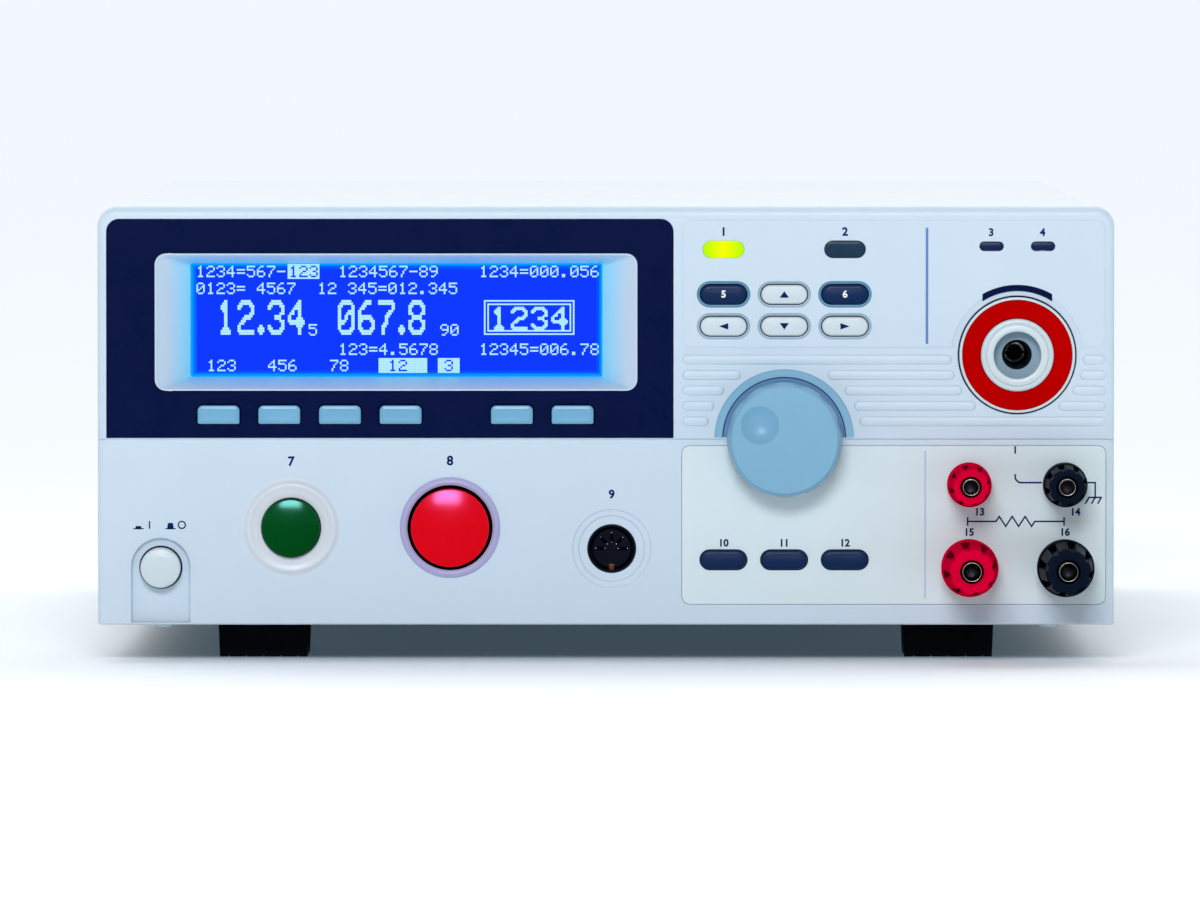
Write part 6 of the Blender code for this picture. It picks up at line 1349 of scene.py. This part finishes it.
def screw_heads(name, places, facing, look="zinc_steel", radius=2.9):
    """Cross-recessed pan heads at some places, turned from the front to face another way."""
    heads, slots = bmesh.new(), bmesh.new()
    profile = soften([(0, -1.5), (radius * 0.7, -1.35, 1.0), (radius, -0.4, 0.5), (radius, 0.4)])
    for place in places:
        where = Matrix.Translation(Vector(place) * MM) @ facing
        before = len(heads.verts), len(slots.verts)
        turn(heads, (0, 0, 0), profile, 32)
        for points in (((-1.4, 0), (1.4, 0)), ((0, -1.4), (0, 1.4))):
            # The cross recess drawn as black strokes: painted shade
            stroke(slots, points, 0.6, -1.53)
        for bm, count in zip((heads, slots), before):
            bmesh.ops.transform(bm, matrix=where, verts=list(bm.verts)[count:])
    piece(name, heads, look)
    piece(f"{name}_slots", slots, "void")


def make_screws():
    down = Matrix.Rotation(math.radians(90), 4, "X")
    under = [(x, BEZEL_BACK - 8, BOTTOM) for x in (-BEZEL_SCREW_X, BEZEL_SCREW_X)]
    screw_heads("bezel_screws", under, down, "white_plastic", 3.2)
    half = span("top_cover")[1].x
    for name, side in (("left", -1), ("right", 1)):
        places = [(side * half, y, COVER_SCREW_Z) for y in COVER_SCREW_Y]
        screw_heads(f"cover_screws_{name}", places, Matrix.Rotation(math.radians(90 * side), 4, "Z"))
    places = [(x, z) for x in (-REAR_SCREW_X, REAR_SCREW_X) for z in REAR_SCREW_Z] + [(0, REAR_SCREW_Z[-1])]
    back = [(x, REAR + 0.1, z) for x, z in places]
    screw_heads("rear_screws", back, Matrix.Rotation(math.pi, 4, "Z"), radius=2.6)


def make_ports():
    """The contact faces, flanges and jack posts of the rear connectors, built facing the back."""
    low, high = span("interface_board")
    z = low.z + PORT_RISE
    front = high.y + 0.05
    bm, pins, plate = bmesh.new(), bmesh.new(), bmesh.new()
    for x in (low.x + place for place in PORT_PLACES):
        polygon(bm, rect(x - 7.4, z - 3.2, x + 7.4, z + 3.2, 1.6)()[::-1], front)
        for row, count in ((1.4, 5), (-1.4, 4)):
            for k in range(count):
                cx = x + (k - (count - 1) / 2) * PIN_PITCH
                # Black pin holes: painted shade
                polygon(pins, circle(cx, z + row, 0.55, 12)[::-1], front + 0.03)
        block(plate, (x - 15.4, REAR, z - 6.2), (x + 15.4, REAR + 0.8, z + 6.2), 0.3)
        for side in (-PORT_JACK, PORT_JACK):
            rows = [(2.6, REAR + 0.8), (2.6, REAR + 4.8), (1.4, REAR + 5.2), (1.3, REAR + 3)]
            turn(plate, (x + side, 0, z), rows, 6)
    piece("port_faces", bm, "port_blue")
    piece("port_pins", pins, "void")
    piece("port_flanges", plate, "zinc_steel")


def smooth_group():
    """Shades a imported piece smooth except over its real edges."""
    group = bpy.data.node_groups.new("smooth_by_angle", "GeometryNodeTree")
    for way in ("INPUT", "OUTPUT"):
        group.interface.new_socket("Geometry", in_out=way, socket_type="NodeSocketGeometry")
    sharp = node(group, "GeometryNodeSetShadeSmooth", domain="EDGE", Shade_Smooth=False)
    chain = (
        node(group, "NodeGroupInput"),
        node(group, "GeometryNodeMergeByDistance", Distance=0.002 * MM),
        node(group, "GeometryNodeRemoveAttribute", Name="custom_normal"),
        node(group, "GeometryNodeSetShadeSmooth", domain="FACE"),
        sharp,
        node(group, "NodeGroupOutput"),
    )
    for a, b in zip(chain, chain[1:]):
        group.links.new(a.outputs[0], b.inputs[0])
    angle = node(group, "GeometryNodeInputMeshEdgeAngle")
    wide = node(group, "FunctionNodeCompare", data_type="FLOAT", operation="GREATER_THAN", B=math.radians(32))
    group.links.new(angle.outputs["Unsigned Angle"], wide.inputs["A"])
    group.links.new(wide.outputs[0], sharp.inputs["Selection"])
    return group


def dress_packed():
    """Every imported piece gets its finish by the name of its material, and smooth shading."""
    group = smooth_group()
    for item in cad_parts.values():
        for place in item.material_slots:
            name = place.material.name.split(".")[0]
            place.material = LOOKS.get(name, LOOKS["zinc_steel"])
        change = item.modifiers.new("Smooth", "NODES")
        change.node_group = group
        weigh(item)
    for name in (f"{end}_foot_{side}" for end in ("front", "rear") for side in ("left", "right")):
        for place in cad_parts[name].material_slots:
            place.material = LOOKS["rubber"]


# Stage


def make_stage():
    bm = bmesh.new()
    bm.faces.new([bm.verts.new((x, y, 0)) for x, y in rect(-300, -300, 300, 300, 0.05)()])
    mesh = settle("floor", bm)
    floor = put("floor", mesh)
    mesh.materials.append(LOOKS["floor"])
    floor.visible_glossy = False


def lamp(name, kind, place, aim, power, colour, width, height=0):
    """A studio light: an area light of a width and height in metres, or a sun of a width in degrees."""
    data = bpy.data.lights.new(name, kind)
    data.energy, data.color = power, colour
    if kind == "AREA":
        data.shape, data.size, data.size_y = "RECTANGLE", width, height
    else:
        data.angle = math.radians(width)
    light = put(name, data)
    light.location = place
    light.rotation_euler = (Vector(aim) - Vector(place)).to_track_quat("-Z", "Y").to_euler()


def make_lights():
    front = UPPER_Y * MM
    lamp("softbox", "AREA", (-0.2, front - 3.0, 1.3), (0, front, 0.08), 52, (0.97, 0.96, 1.0), 1.05, 0.72)
    lamp("sky", "SUN", (-0.15, 1.0, 1.35), (0, 0, 0), 1.22, (1.0, 1.0, 1.0), 80)
    world = bpy.data.worlds.new("studio")
    world.use_nodes = True
    tree = world.node_tree
    parts = node(tree, "ShaderNodeSeparateXYZ")
    tree.links.new(node(tree, "ShaderNodeTexCoord").outputs["Generated"], parts.inputs[0])
    share = spread(tree, parts.outputs["Y"], -0.95, 0.6)
    stops = [(0.0, (0.16, 0.17, 0.19)), (0.5, (0.36, 0.38, 0.41)), (1.0, (1.10, 1.12, 1.15))]
    sky = tree.nodes["Background"]
    tree.links.new(graded(tree, share, stops), sky.inputs["Color"])
    tree.links.new(maths(tree, "GREATER_THAN", parts.outputs["Z"], 0.0), sky.inputs["Strength"])
    bpy.context.scene.world = world
    bpy.context.scene.view_settings.view_transform = "Standard"


def make_camera():
    data = bpy.data.cameras.new("camera")
    data.lens, data.sensor_width = CAMERA_LENS, 36
    data.clip_start, data.clip_end = 0.05, 1000
    camera = put("camera", data)
    camera.location = Vector((CAMERA_X, LOWER_Y - CAMERA_DISTANCE, CAMERA_HEIGHT)) * MM
    aim = Vector((AIM_X, LOWER_Y, AIM_HEIGHT)) * MM
    camera.rotation_euler = (aim - camera.location).to_track_quat("-Z", "Y").to_euler()
    bpy.context.scene.camera = camera


make_camera()
make_looks()
dress_packed()
make_bezel()
make_display()
make_keys()
make_lamps()
make_dial()
make_terminal()
make_buttons()
make_remote()
for kind in ("source", "sense"):
    for side in ("h", "l"):
        make_post(kind, side)
make_film()
make_prints()
make_screws()
make_ports()
make_stage()
make_lights()
